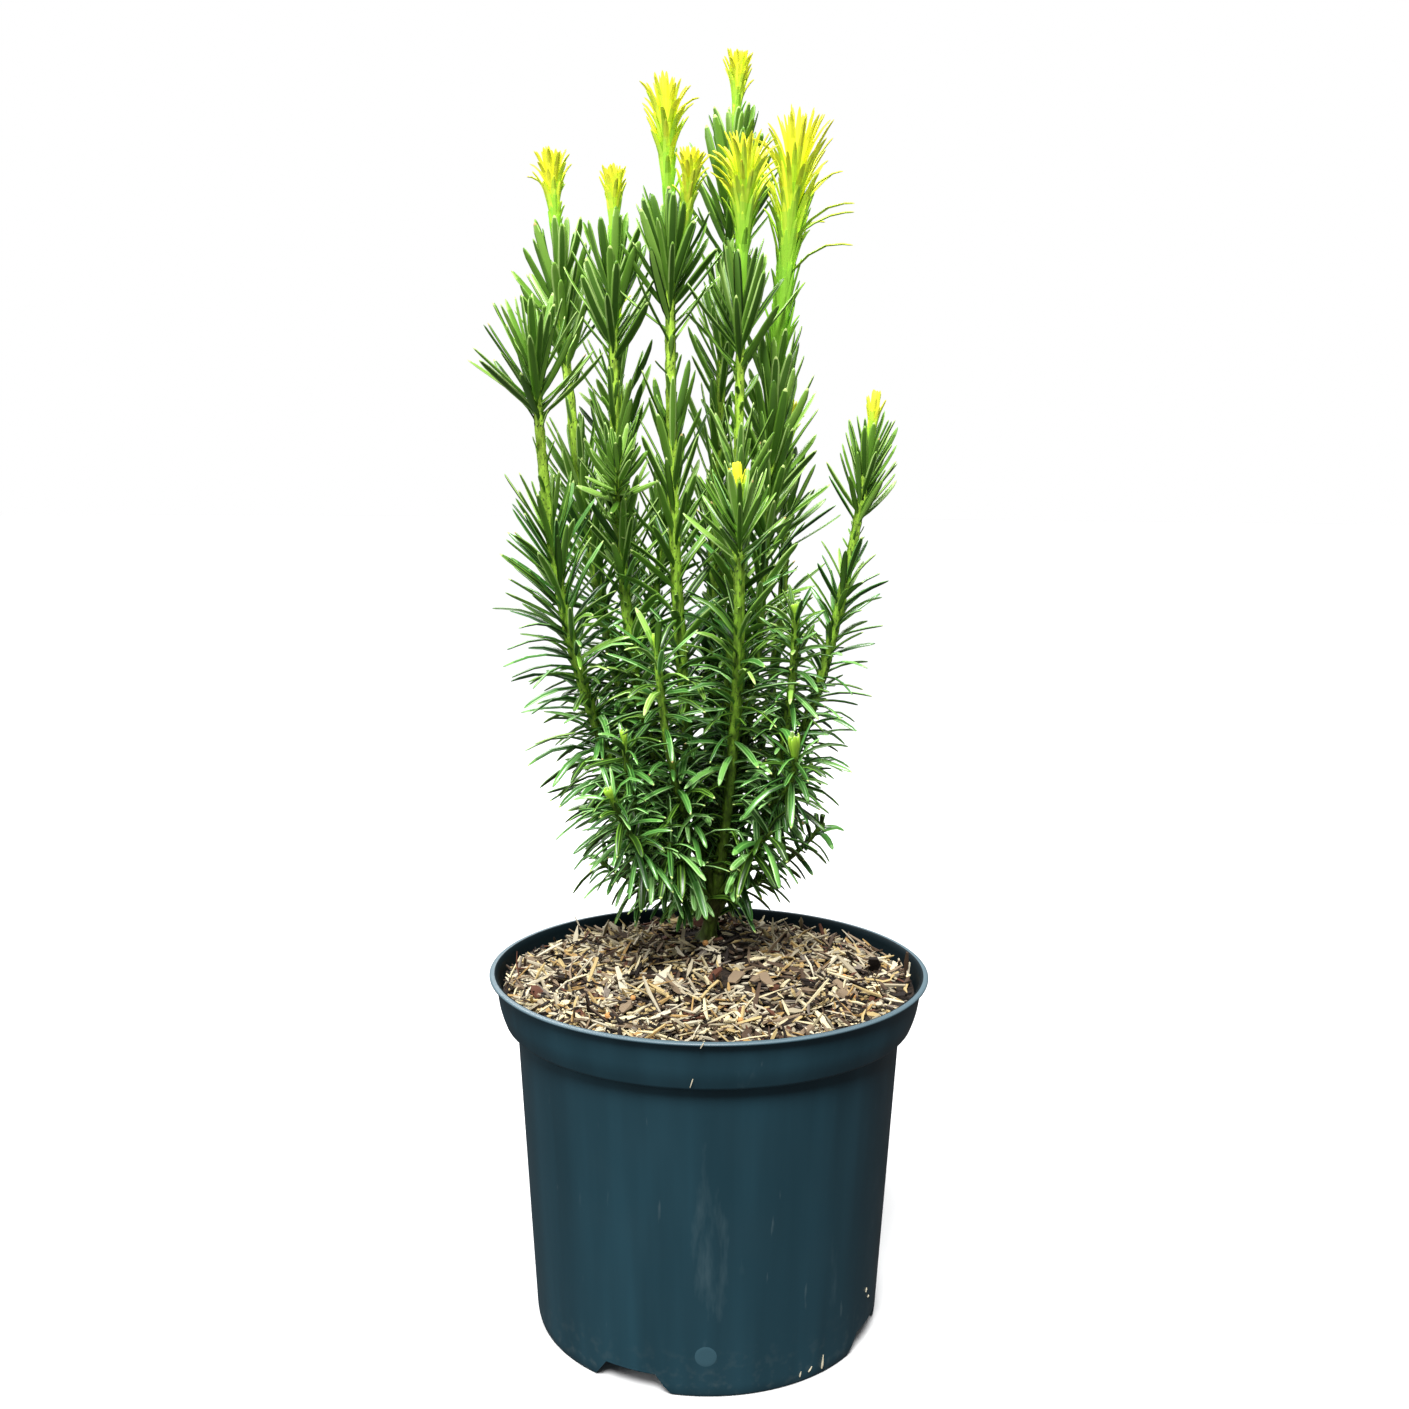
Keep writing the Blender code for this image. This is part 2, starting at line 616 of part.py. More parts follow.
def keep_outer_shell(target):
    """Drop sealed hollows and loose scraps: only the largest shell stays."""
    shape = bmesh.new()
    shape.from_mesh(target.data)
    waiting = set(shape.verts)
    shells = []
    while waiting:
        shell = [waiting.pop()]
        for point in shell:
            for edge in point.link_edges:
                other = edge.other_vert(point)
                if other in waiting:
                    waiting.remove(other)
                    shell.append(other)
        shells.append(shell)
    shells.sort(key=len)
    for shell in shells[:-1]:
        bmesh.ops.delete(shape, geom=shell, context="VERTS")
    shape.to_mesh(target.data)
    shape.free()


def fuse(stem, needles):
    """Join a stem and its needles into one solid by one union."""
    group = bpy.data.collections.new(stem.name + "_needles")
    bpy.context.scene.collection.children.link(group)
    for needle in needles:
        bpy.context.scene.collection.objects.unlink(needle)
        group.objects.link(needle)
    union = stem.modifiers.new("needles", "BOOLEAN")
    union.operation = "UNION"
    union.operand_type = "COLLECTION"
    union.collection = group
    bpy.context.view_layer.update()
    apply_modifiers(stem)
    remove_helpers(needles)
    bpy.data.collections.remove(group)
    keep_outer_shell(stem)


def shoot_needles(space, node, shoot, limb, rng):
    """Needles round a shoot in a spiral, from its tip down to where its foliage begins."""
    placed = []
    last = len(limb.points) - 1
    along = tangents(limb.points)
    turn = rng.uniform(0.0, math.tau)
    below_tip = TOP_GAP
    while below_tip < (last - 1) * PATH_STEP:
        place = last - round(below_tip / PATH_STEP)
        point = limb.points[place]
        length, lean, sag, step = needle_habit(shoot, below_tip, point.z)
        length *= rng.uniform(*LENGTH_SPREAD)
        lean += math.radians(rng.uniform(-LEAN_SPREAD, LEAN_SPREAD))
        roll = math.radians(rng.uniform(-ROLL_SPREAD, ROLL_SPREAD))
        habit = (length, lean, roll, sag)
        corners = place_needle(space, node, point, along[place], turn, habit)
        if corners:
            placed.append(corners)
        turn += GOLDEN_ANGLE + rng.uniform(-TURN_SPREAD, TURN_SPREAD)
        below_tip += step
    return placed


def new_needles(space, node, growth, limb, rng):
    """New needles, from where the new stem leaves the old rosette up to its end."""
    placed = []
    last = len(limb.points) - 1
    along = tangents(limb.points)
    turn = rng.uniform(0.0, math.tau)
    for number in range(NEW_NEEDLES):
        share = between((NEW_STARTS, 1.0), number / (NEW_NEEDLES - 1))
        place = min(last - 1, round(share * last))
        length, lean = new_growth_habit(growth, share)
        length *= rng.uniform(*LENGTH_SPREAD)
        roll = math.radians(rng.uniform(-ROLL_SPREAD, ROLL_SPREAD))
        habit = (length, lean, roll, 0.0)
        corners = place_needle(space, node, limb.points[place], along[place], turn, habit)
        if corners:
            placed.append(corners)
        turn += GOLDEN_ANGLE
    return placed


def main():
    for old in list(bpy.data.objects):
        bpy.data.objects.remove(old, do_unlink=True)
    plastic = material("pot_plastic", (0.028, 0.080, 0.109), 0.38)
    compost = material("bark_compost", (0.300, 0.190, 0.095), 0.95)
    bark = material("stem_bark", (0.105, 0.120, 0.030), 0.70)
    foliage = material("green_needles", (0.030, 0.135, 0.022), 0.42)
    fresh = material("new_needles", (0.680, 0.740, 0.020), 0.45)

    space = Space()
    space.add_object("pot", make_pot(plastic))
    space.add_object("soil", make_soil(compost))
    limbs = grow_limbs()
    space.add_object("trunk", make_trunk(limbs["trunk"], bark))

    jobs = []
    for shoot in SHOOTS:
        whole = limbs[shoot.name]
        node = "shoot_" + shoot.name
        split = 0
        if shoot.leafy is not None:
            split = index_at_height(whole, shoot.leafy)
            bare = limb_shape(slice_limb(whole, 0, split), BOUGH_SIDES)
            bough = object_from("bough_" + shoot.name, bare, bark)
            space.add_object(bough.name, bough)
        leafy = slice_limb(whole, split, None)
        if split:
            leafy.points[0] = (whole.points[split - 1]
                               + (whole.points[split] - whole.points[split - 1]).normalized()
                               * CLEAR)
        stem = object_from(node, limb_shape(leafy, TWIG_SIDES), foliage)
        space.add_object(node, stem)
        jobs.append((shoot_needles, stem, shoot, leafy))

    for growth in NEW_GROWTH:
        parent = limbs[growth.shoot]
        foot = parent.points[-1] + end_direction(parent.points) * CLEAR
        top = foot.lerp(Vector(growth.top), growth.stem_share)
        limb = tapered(curve_points(foot, foot.lerp(top, 0.5), top), *NEW_STEM_RADII)
        tip = object_from("tip_" + growth.shoot, limb_shape(limb, TWIG_SIDES), fresh)
        space.add_object(tip.name, tip)
        jobs.append((new_needles, tip, growth, limb))

    parent = limbs[SIDE_TIP.parent]
    start = parent.points[index_at_height(parent, SIDE_TIP.leaves)]
    points = seat(curve_points(start, SIDE_TIP.knee, SIDE_TIP.tip), SIDE_TIP.foot_r, parent)
    limb = tapered(points, SIDE_TIP.foot_r, SIDE_TIP.tip_r)
    tip = object_from("tip_" + SIDE_TIP.name, limb_shape(limb, TWIG_SIDES), fresh)
    space.add_object(tip.name, tip)
    side = Growth(SIDE_TIP.name, SIDE_TIP.tip, 1.0, SIDE_TIP_LEAN, SIDE_TIP_SIZE)
    jobs.append((new_needles, tip, side, limb))

    grown = []
    for count, (grow, stem, habit, limb) in enumerate(jobs):
        corners = grow(space, stem.name, habit, limb, random.Random(SEED * 100 + count))
        grown.append((stem, corners))
    for stem, corners in grown:
        needles = [blade_object(f"{stem.name}_needle_{number}", blade)
                   for number, blade in enumerate(corners)]
        fuse(stem, needles)


main()
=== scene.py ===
# Upright plum yew in its nursery pot: the looks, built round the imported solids.
# Metres, +Z up, in the solids' own frame: the origin is under the pot's centre, -Y is the front.

import json
import math
import random
from collections import namedtuple

import bmesh
import bpy
import numpy as np
from mathutils import Matrix, Vector, noise
from mathutils.bvhtree import BVHTree
from mathutils.kdtree import KDTree

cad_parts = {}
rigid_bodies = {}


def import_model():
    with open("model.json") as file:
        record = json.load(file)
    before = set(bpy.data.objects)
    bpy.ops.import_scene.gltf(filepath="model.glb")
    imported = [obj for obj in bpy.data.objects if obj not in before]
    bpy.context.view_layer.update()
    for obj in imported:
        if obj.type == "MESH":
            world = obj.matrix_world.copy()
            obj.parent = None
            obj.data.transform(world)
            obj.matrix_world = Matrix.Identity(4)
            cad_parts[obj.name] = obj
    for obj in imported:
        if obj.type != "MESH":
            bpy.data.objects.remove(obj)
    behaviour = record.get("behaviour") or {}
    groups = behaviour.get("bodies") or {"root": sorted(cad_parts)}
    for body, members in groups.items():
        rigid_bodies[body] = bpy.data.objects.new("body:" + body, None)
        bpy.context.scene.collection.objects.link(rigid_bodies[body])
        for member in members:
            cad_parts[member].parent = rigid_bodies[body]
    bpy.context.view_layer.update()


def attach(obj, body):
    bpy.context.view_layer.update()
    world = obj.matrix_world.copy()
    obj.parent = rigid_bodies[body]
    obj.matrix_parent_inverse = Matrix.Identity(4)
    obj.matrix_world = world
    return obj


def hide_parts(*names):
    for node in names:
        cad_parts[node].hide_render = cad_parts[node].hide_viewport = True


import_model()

SEED = 7
UP = Vector((0.0, 0.0, 1.0))

# The photo's camera
CAMERA_PLACE = (0.0, -0.625, 0.356)
CAMERA_PITCH = math.radians(7.8)
CAMERA_YAW = math.radians(-0.25)
CAMERA_ROLL = math.radians(0.42)
FILM_WIDTH = 36.0
LENS = 37.81

# The light
PLANT_MIDDLE = (0.0, 0.0, 0.28)
FLOOR_RADIUS = 30.0
FLOOR_COLOUR = (0.54, 0.54, 0.54)
WHITE = (1.0, 1.0, 1.0, 1.0)
SKY_COLOUR = (0.93, 0.97, 1.0, 1.0)
SKY_STRENGTH = 0.27
ROOM_STRENGTH = 0.10                  # what shows of the sky in glossy surfaces
SUN_STRENGTH = 6.7
SUN_ANGLE = math.radians(22)
SUN_FROM = (-0.07, -0.72, 1.00)

# The pot
POT_HEIGHT = 0.1555
LIP_RADIUS = 0.0950
LIP_WIDTH = 0.0028
LIP_DEPTH = 0.0014
LIP_ROUND = 0.0006
BAND_TOP_RADIUS = 0.0925
BAND_FOOT_RADIUS = 0.0882
BAND_FOOT_Z = 0.1340
BAND_ROUND = 0.0010
BAND_FLARE = (0.0022, 0.0070)         # how far the band's foot spreads, and over what height
BODY_TOP_RADIUS = 0.0832
BODY_FOOT_RADIUS = 0.0753
FOOT_RADIUS = 0.0743
FOOT_ROUND = 0.0035
WALL = 0.0015
FOOT_WALL = 0.0022
FLOOR_UNDERSIDE_Z = 0.0092
FLOOR_RIBS = (0.0215, 0.0515)         # radii of two low rings under the floor
FLOOR_RIB = (0.0010, 0.0010)          # half their width, and their height
EASE_STEPS = (0.0, 0.25, 0.5, 0.75, 1.0)
POT_SEGMENTS = 192
NOTCH_COUNT = 4
NOTCH_TURN = math.radians(-24)        # first notch, from the front towards +X
NOTCH_HEIGHT = 0.0086
NOTCH_WIDTH = 0.0350
NOTCH_ROOF_WIDTH = 0.0222
NOTCH_DEPTH = 0.0120                  # the cutter's, along the radius
NOTCH_DEPTH_INSIDE = 0.6              # share of it inside the foot's edge
NOTCH_BELOW = 0.0020
MARK_RADIUS = 0.0046                  # round mould mark low on the front
MARK_Z = 0.0185
MARK_RELIEF = 0.00012
MARK_SUNK = 0.00004
MARK_RINGS = 6
MARK_SIDES = 48
POT_INSIDE = (0.0028, 0.0070, 0.0090)     # nearly black
PLASTIC = (0.0104, 0.0350, 0.0485)

# The compost and the wood mulch on it
SOIL_EDGE_Z = 0.1475
SOIL_OUTER_RING = (0.066, 0.0022)     # radius, and height over the edge
SOIL_INNER_RING = (0.036, 0.0032)     # radius, and depth under the top
SOIL_SHIFT = 1.15                     # how fast the rings move over to the stem's foot
SOIL_GAP = 0.0004
STEM_FOOT = Vector((-0.001, 0.030, 0.1580))
SOIL_LEVEL_RADIUS = 0.0115
SOIL_RINGS = 64
SOIL_SEGMENTS = 160
CLOD_SIZE = 0.0062
CLOD_RELIEF = 0.0012
SWELL_SIZE = 0.0260
SWELL_RELIEF = 0.0012
SPLINTERS = 4300
SPLINTER_LENGTH = 0.0062
SPLINTER_WIDTH = 0.00116
LONGEST_SPLINTER = 0.0190
WIDEST_SPLINTER = 0.0030
MULCH_RADIUS = 0.0890
MULCH_DEPTH = 0.0034
CHIPS = 110
GRANULES = 14
GRANULE_RADIUS = (0.0010, 0.0015)

# Stems and needles, by the rule of the solids
FLARE_RADIUS = 0.0072
FLARE_HEIGHT = 0.0060
TRUNK_RADIUS = 0.0040
FORK_RADIUS = 0.0030
FORK_Z = 0.1960
PATH_STEP = 0.0010
CURVE_SAMPLES = 400
STEM_SWELL = (0.82, 1.20)             # the ribbed skin against the solids' stems, low and high
SWELLS_Z = (0.190, 0.300)
CUSHION = 0.0058                      # length of the swelling under each needle's foot
# Where along the height each tone of the stems' skin comes in
STEM_TONES = [
    ((0.150, 0.160), (0.050, 0.052, 0.018)),
    ((0.160, 0.180), (0.070, 0.130, 0.012)),
    ((0.215, 0.275), (0.165, 0.310, 0.024)),
    ((0.315, 0.385), (0.340, 0.550, 0.050)),
]
STEM_SPECK = (0.050, 0.085, 0.012)
STEM_WANDER = 0.018
NEW_STEM_RADII = (0.0008, 0.0010)
NEEDLE = 0.0310
NEEDLE_WIDTH = (0.0041, 0.0035, 0.0036)     # in a rosette, below it, and low down
NEEDLE_THICKNESS = 0.0006
SCALE_NEEDLE = (0.0035, 0.0120)       # short needles at the joint between two years' growth
SCALE_LEAN = (10.0, 36.0)
YEAR_GROWTH = 0.0560
YEAR_NEEDLE_SHARE = 0.86              # how long its needles are against a rosette's
YEAR_JOINT_FROM = 0.78                # share of a year's growth below which it is nearly bare
TOP_NEEDLE_SHARE = 0.80               # the topmost needles of a rosette
TOP_NEEDLE_REACH = 0.33               # share of the rosette that has shorter needles
ROSETTE_LEAN = (10.0, 40.0)           # degrees from the stem at a rosette's top and foot
YEAR_LEAN = (17.0, 31.0)              # at the top and foot of a year's growth
ROSETTE_STEP = 0.00068
JOINT_STEP = 0.0018
BARE_JOINT_STEP = 0.0060
STEM_STEP = 0.0011
TOP_GAP = 0.0008                      # from a shoot's end to its first needle
LENGTH_SPREAD = ((0.86, 1.10), (0.60, 1.12))    # high up and low down
WIDTH_SPREAD = (0.84, 1.06)
LEAN_SPREAD = ((-5.0, 11.0), (-24.0, 10.0))     # degrees off the rule, high up and low down
TURN_SPREAD = 0.22
STEP_SPREAD = (0.75, 1.25)
CURL_SPREAD = (-18.0, 7.0)            # how much more a needle's end leans than its foot
TWIST = (8.0, 40.0)                   # degrees that a needle is turned about its own length
TURN_TRIES = (0.0, 0.3, -0.3, 0.6, -0.6)
DROOP_STARTS_Z = 0.3650               # needles spread and droop more and more below this
DROOP_FULL_Z = 0.2500
DROOP_LEAN = 46.0
DROOP_SAG = 0.95
DROOP_SPACING = 0.6
DROOP_SPREAD = (0.20, 1.05)
NEW_STEP = 0.0006
NEW_STARTS = 0.22                     # share of a new stem that stands bare in the old rosette
NEW_NEEDLE = 0.0210
NEW_LENGTHS = (0.82, 1.00)            # new needles at the stem's foot and end, against that
NEW_LENGTH_SPREAD = (0.88, 1.10)
NEW_WIDTH = 0.0026
NEW_HUG = (2.0, 17.0)                 # degrees that new needles lean at their foot
NEW_FLARE_SPREAD = (0.35, 1.20)
NEW_WHISKERS = (0.14, 0.9)            # the few that bend out further, and how much
NEW_TWIST = 12.0
NEW_SEAT = 0.0004                     # how far they stand off the stem
NEW_CROWN = 26                        # needles that close the very top
NEW_CROWN_LENGTH = (0.94, 1.12)
FULL_FLARE = 30.0                     # a tip that flares less stays closed at its top
NEW_CROWN_LEAN = (1.0, 15.0)          # degrees, in the crown's middle and at its outside
NEEDLE_CLEAR = 0.0009
STEM_CLEAR = 0.0009
REACH = 0.0950                        # no needle passes this far from the pot's axis in X or Y
GOLDEN_ANGLE = math.radians(137.5)
HEEL = 0.0030                         # how far a needle's foot runs down its stem

# Each shoot rises from its parent at the height `leaves`, bends over the knee and ends at the
# tip. Its bare bough reaches the height `leafy`, where its foliage begins.
Shoot = namedtuple("Shoot", "name parent leaves knee tip foot_r tip_r leafy rosette thin")
SHOOTS = [
    Shoot("front", "trunk", None, (0.013, -0.010, 0.241), (0.011, -0.031, 0.337),
          0.0028, 0.0016, None, 0.004, 0.016),
    Shoot("left_outer", "trunk", 0.169, (-0.068, -0.008, 0.250), (-0.070, -0.030, 0.412),
          0.0026, 0.0015, 0.205, 0.015, 0.027),
    Shoot("left_tall", "trunk", 0.177, (-0.050, 0.018, 0.246), (-0.065, 0.013, 0.446),
          0.0026, 0.0015, 0.215, 0.019, 0.020),
    Shoot("centre_tall", "trunk", 0.182, (-0.017, 0.005, 0.246), (-0.018, -0.007, 0.452),
          0.0025, 0.0016, 0.212, 0.024, 0.016),
    Shoot("left_mid", "centre_tall", 0.198, (-0.044, 0.003, 0.245), (-0.041, -0.002, 0.446),
          0.0023, 0.0015, 0.222, 0.018, 0.014),
    Shoot("back_tall", "trunk", 0.180, (-0.006, 0.045, 0.247), (0.008, 0.045, 0.498),
          0.0025, 0.0015, 0.220, 0.032, 0.010),
    Shoot("centre_right", "back_tall", 0.199, (0.011, 0.015, 0.258), (0.011, -0.002, 0.426),
          0.0023, 0.0015, 0.232, 0.010, 0.021),
    Shoot("right_lime", "trunk", 0.183, (0.020, 0.020, 0.246), (0.026, 0.018, 0.402),
          0.0025, 0.0015, 0.216, 0.046, 0.000),
    Shoot("right_outer", "trunk", 0.171, (0.046, 0.005, 0.240), (0.064, 0.001, 0.368),
          0.0025, 0.0015, 0.207, 0.016, 0.018),
    Shoot("back_left", "left_tall", 0.189, (-0.034, 0.056, 0.246), (-0.043, 0.053, 0.410),
          0.0023, 0.0015, 0.222, 0.024, 0.020),
    Shoot("back_right", "right_lime", 0.196, (0.033, 0.051, 0.250), (0.034, 0.059, 0.361),
          0.0022, 0.0015, 0.225, 0.024, 0.016),
    Shoot("back_middle", "back_tall", 0.189, (0.006, 0.070, 0.245), (0.004, 0.071, 0.352),
          0.0022, 0.0014, 0.216, 0.026, 0.014),
    Shoot("right_short", "right_outer", 0.195, (0.036, -0.012, 0.250), (0.034, -0.022, 0.312),
          0.0020, 0.0013, 0.220, 0.034, 0.000),
    Shoot("middle_short", "centre_tall", 0.197, (-0.018, -0.032, 0.235), (-0.022, -0.036, 0.300),
          0.0019, 0.0012, 0.214, 0.030, 0.010),
    Shoot("left_fan", "left_mid", 0.345, (-0.039, -0.014, 0.355), (-0.038, -0.020, 0.374),
          0.0014, 0.0010, None, 0.020, 0.000),
    Shoot("back_comb", "back_left", 0.270, (-0.026, 0.052, 0.310), (-0.022, 0.050, 0.350),
          0.0016, 0.0011, None, 0.040, 0.000),
    Shoot("left_bud", "left_outer", 0.200, (-0.034, -0.024, 0.225), (-0.035, -0.034, 0.262),
          0.0016, 0.0011, None, 0.030, 0.000),
    Shoot("left_rosette", "left_outer", 0.181, (-0.028, -0.030, 0.205), (-0.040, -0.046, 0.240),
          0.0017, 0.0012, None, 0.040, 0.000),
    Shoot("left_twig", "left_outer", 0.175, (-0.030, 0.012, 0.186), (-0.048, 0.006, 0.200),
          0.0014, 0.0010, None, 0.030, 0.000),
    Shoot("right_bud", "right_short", 0.226, (0.036, -0.028, 0.238), (0.034, -0.036, 0.256),
          0.0015, 0.0012, None, 0.026, 0.000),
    Shoot("low_front", "trunk", 0.176, (-0.010, -0.006, 0.205), (-0.018, -0.024, 0.216),
          0.0016, 0.0011, None, 0.030, 0.000),
    Shoot("low_front_right", "trunk", 0.178, (0.016, -0.004, 0.205), (0.026, -0.020, 0.220),
          0.0016, 0.0011, None, 0.030, 0.000),
    Shoot("low_right", "right_outer", 0.180, (0.034, 0.008, 0.196), (0.050, 0.008, 0.218),
          0.0016, 0.0011, None, 0.030, 0.000),
    Shoot("low_right_back", "back_right", 0.216, (0.036, 0.030, 0.224), (0.047, 0.044, 0.238),
          0.0016, 0.0011, None, 0.034, 0.000),
    Shoot("low_back", "trunk", 0.168, (0.000, 0.058, 0.184), (-0.004, 0.070, 0.210),
          0.0016, 0.0011, None, 0.034, 0.000),
    Shoot("low_left_back", "back_left", 0.201, (-0.034, 0.042, 0.212), (-0.050, 0.046, 0.230),
          0.0016, 0.0011, None, 0.034, 0.000),
]
BARE_STRETCHES = {"left_outer", "left_tall"}     # their thin stretch has hardly a needle on it
LEAFY_NEW_STEMS = {"right_lime"}                 # new needles from its foot on, the outer ones limp
LEAFY_LEAN = 8.0
LIMP_SAG = 0.6
LIMP_LEAN = 26.0
LIMP_LENGTH = 1.15
LIMP_SHARE = 0.22
LIMP_FROM = 0.30
LIMP_TO = 0.85
# How long and broad a shoot's needles are against the usual ones, their spacing, and how many
# degrees more they lean at their rosette's foot
Habit = namedtuple("Habit", "length width step spread")
USUAL_HABIT = Habit(1.0, 1.0, 1.0, 0.0)
HABITS = {
    "front": Habit(0.88, 0.84, 0.80, 4.0), "left_outer": Habit(1.02, 0.88, 0.52, 10.0),
    "left_tall": Habit(1.0, 1.0, 0.70, 0.0), "left_mid": Habit(0.95, 1.0, 0.76, 0.0),
    "right_outer": Habit(0.74, 0.76, 0.85, -4.0), "left_fan": Habit(0.52, 0.80, 1.0, 24.0),
    "left_bud": Habit(0.66, 0.80, 0.90, 20.0), "left_rosette": Habit(0.68, 0.85, 0.85, 16.0),
    "left_twig": Habit(0.65, 0.85, 1.0, 10.0), "right_short": Habit(0.60, 0.74, 0.65, 22.0),
    "middle_short": Habit(0.78, 0.85, 1.0, 12.0), "right_bud": Habit(0.75, 0.90, 1.0, 8.0),
    "low_front": Habit(0.90, 1.0, 1.1, 0.0), "low_front_right": Habit(0.80, 1.0, 1.1, 0.0),
    "low_right": Habit(0.52, 0.90, 1.5, 0.0), "low_right_back": Habit(0.55, 0.90, 1.6, 0.0),
    "back_right": Habit(0.90, 0.90, 1.70, 0.0), "back_left": Habit(0.95, 0.90, 1.50, 0.0),
    "back_comb": Habit(0.90, 0.85, 1.70, 0.0), "back_middle": Habit(0.95, 0.90, 1.60, 0.0),
}
# The main stem stands in view up to this height: no needle within this distance to its sides
# crosses before it
OPEN_STEM_Z = 0.2480
OPEN_STEM_HALF = 0.0042
OPEN_STEM_BEFORE = 0.0020
CROSSING_SHARE = 0.12
SIGHT_STEP = 0.0016
LOWEST_END_Z = 0.1730                 # few needles hang lower
HANGING_SHARE = 0.22
# How far a rosette's topmost needles stand up the new stem
RISES = {"centre_right": 0.011, "centre_tall": 0.006, "back_tall": 0.006, "left_mid": 0.003,
         "left_tall": 0.002, "right_lime": 0.006, "front": 0.014, "right_outer": 0.008,
         "back_left": 0.004, "back_right": 0.004}
# Small pale buds at the ends of short shoots, with their lengths
BUDS = {"left_fan": 0.0040, "left_bud": 0.0040, "left_rosette": 0.0045, "right_bud": 0.0100,
        "middle_short": 0.0040, "right_short": 0.0040}
BUD_NEEDLES = 9
BUD_WIDTH = 0.0019

# New growth at the shoots' tips: where it ends, how much of it is stem, how many degrees its
# top flares, how long its needles are against the usual ones, and from where up they flare
Growth = namedtuple("Growth", "shoot top stem_share flare size opens")
NEW_GROWTH = [
    Growth("left_tall", (-0.068, 0.010, 0.499), 0.71, 40, 0.75, 0.45),
    Growth("left_mid", (-0.041, -0.004, 0.490), 0.72, 30, 0.60, 0.50),
    Growth("centre_tall", (-0.020, -0.010, 0.522), 0.71, 44, 1.00, 0.40),
    Growth("back_tall", (0.010, 0.043, 0.5475), 0.71, 32, 0.70, 0.50),
    Growth("centre_right", (0.012, -0.007, 0.501), 0.69, 54, 1.15, 0.30),
    Growth("right_lime", (0.035, 0.016, 0.513), 0.75, 34, 1.45, 0.30),
    Growth("front", (0.0095, -0.037, 0.371), 0.72, 3, 0.45, 0.50),
    Growth("right_outer", (0.0675, -0.002, 0.402), 0.72, 3, 0.45, 0.50),
    Growth("back_left", (-0.045, 0.053, 0.455), 0.70, 36, 0.65, 0.40),
    Growth("back_right", (0.034, 0.061, 0.402), 0.69, 34, 0.60, 0.40),
]
SIDE_TIP = Shoot("centre_side", "centre_tall", 0.440, (-0.0122, -0.0108, 0.460),
                 (-0.0105, -0.0145, 0.480), 0.0010, 0.0009, None, 0.0, 0.0)
SIDE_TIP_SIZE = 0.65
SIDE_TIP_FLARE = 38
SIDE_TIP_OPENS = 0.40

GROUPS = {
    "needles_left": ["left_outer", "left_tall", "left_mid", "left_fan", "left_bud",
                     "left_rosette", "left_twig"],
    "needles_middle": ["front", "centre_tall", "centre_right", "middle_short", "low_front",
                       "low_front_right"],
    "needles_right": ["right_lime", "right_outer", "right_short", "right_bud", "low_right",
                      "low_right_back"],
    "needles_back": ["back_tall", "back_left", "back_right", "back_middle", "back_comb",
                     "low_back", "low_left_back"],
}

Limb = namedtuple("Limb", "points radii")


def smooth_step(low, high, value):
    share = min(1.0, max(0.0, (value - low) / (high - low)))
    return share * share * (3.0 - 2.0 * share)


def between(ends, share):
    return ends[0] + (ends[1] - ends[0]) * share


# Finishes

class Finish:
    """A Principled material and short ways to add nodes to it."""

    def __init__(self, name, colour, roughness, specular=0.5):
        self.material = bpy.data.materials.new(name)
        self.material.use_nodes = True
        self.material.diffuse_color = (*colour, 1.0)
        self.tree = self.material.node_tree
        self.surface = self.tree.nodes["Principled BSDF"]
        self.surface.inputs["Base Color"].default_value = (*colour, 1.0)
        self.surface.inputs["Roughness"].default_value = roughness
        self.surface.inputs["Specular IOR Level"].default_value = specular
        self.place = self.tree.nodes.new("ShaderNodeTexCoord").outputs["Object"]

    def node(self, kind, inputs=(), **settings):
        made = self.tree.nodes.new(kind)
        for name, value in settings.items():
            setattr(made, name, value)
        for socket, value in dict(inputs).items():
            if isinstance(value, bpy.types.NodeSocket):
                self.tree.links.new(value, made.inputs[socket])
            else:
                made.inputs[socket].default_value = value
        return made

    def noise(self, scale, detail=2.0, stretch=(1.0, 1.0, 1.0), roughness=0.5):
        """Soft random patches; `scale` is their number in a metre."""
        placed = self.node("ShaderNodeMapping", {"Vector": self.place, "Scale": stretch})
        made = self.node("ShaderNodeTexNoise", {
            "Vector": placed.outputs["Vector"], "Scale": scale, "Detail": detail,
            "Roughness": roughness})
        return made.outputs["Fac"]

    def remap(self, value, from_low, from_high, to_low=0.0, to_high=1.0):
        made = self.node("ShaderNodeMapRange", {
            "Value": value, "From Min": from_low, "From Max": from_high,
            "To Min": to_low, "To Max": to_high})
        return made.outputs["Result"]

    def mix(self, share, first, second):
        """First where share is 0 and second where it is 1; each is a colour or a socket."""
        sockets = {}
        for index, value in ((6, first), (7, second)):
            sockets[index] = value if isinstance(value, bpy.types.NodeSocket) else (*value, 1.0)
        made = self.node("ShaderNodeMix", {0: share, **sockets}, data_type="RGBA")
        return made.outputs[2]

    def bump(self, height, strength, distance):
        made = self.node("ShaderNodeBump", {
            "Height": height, "Strength": strength, "Distance": distance})
        self.tree.links.new(made.outputs["Normal"], self.surface.inputs["Normal"])

    def colour_from(self, socket):
        self.tree.links.new(socket, self.surface.inputs["Base Color"])

    def roughness_from(self, socket):
        self.tree.links.new(socket, self.surface.inputs["Roughness"])


def shade(colour, factor):
    return tuple(min(1.0, channel * factor) for channel in colour)


def plain(name, colour, roughness, specular=0.5):
    """One even colour: pattern comes from dealing such colours out by needle or splinter."""
    return Finish(name, colour, roughness, specular).material


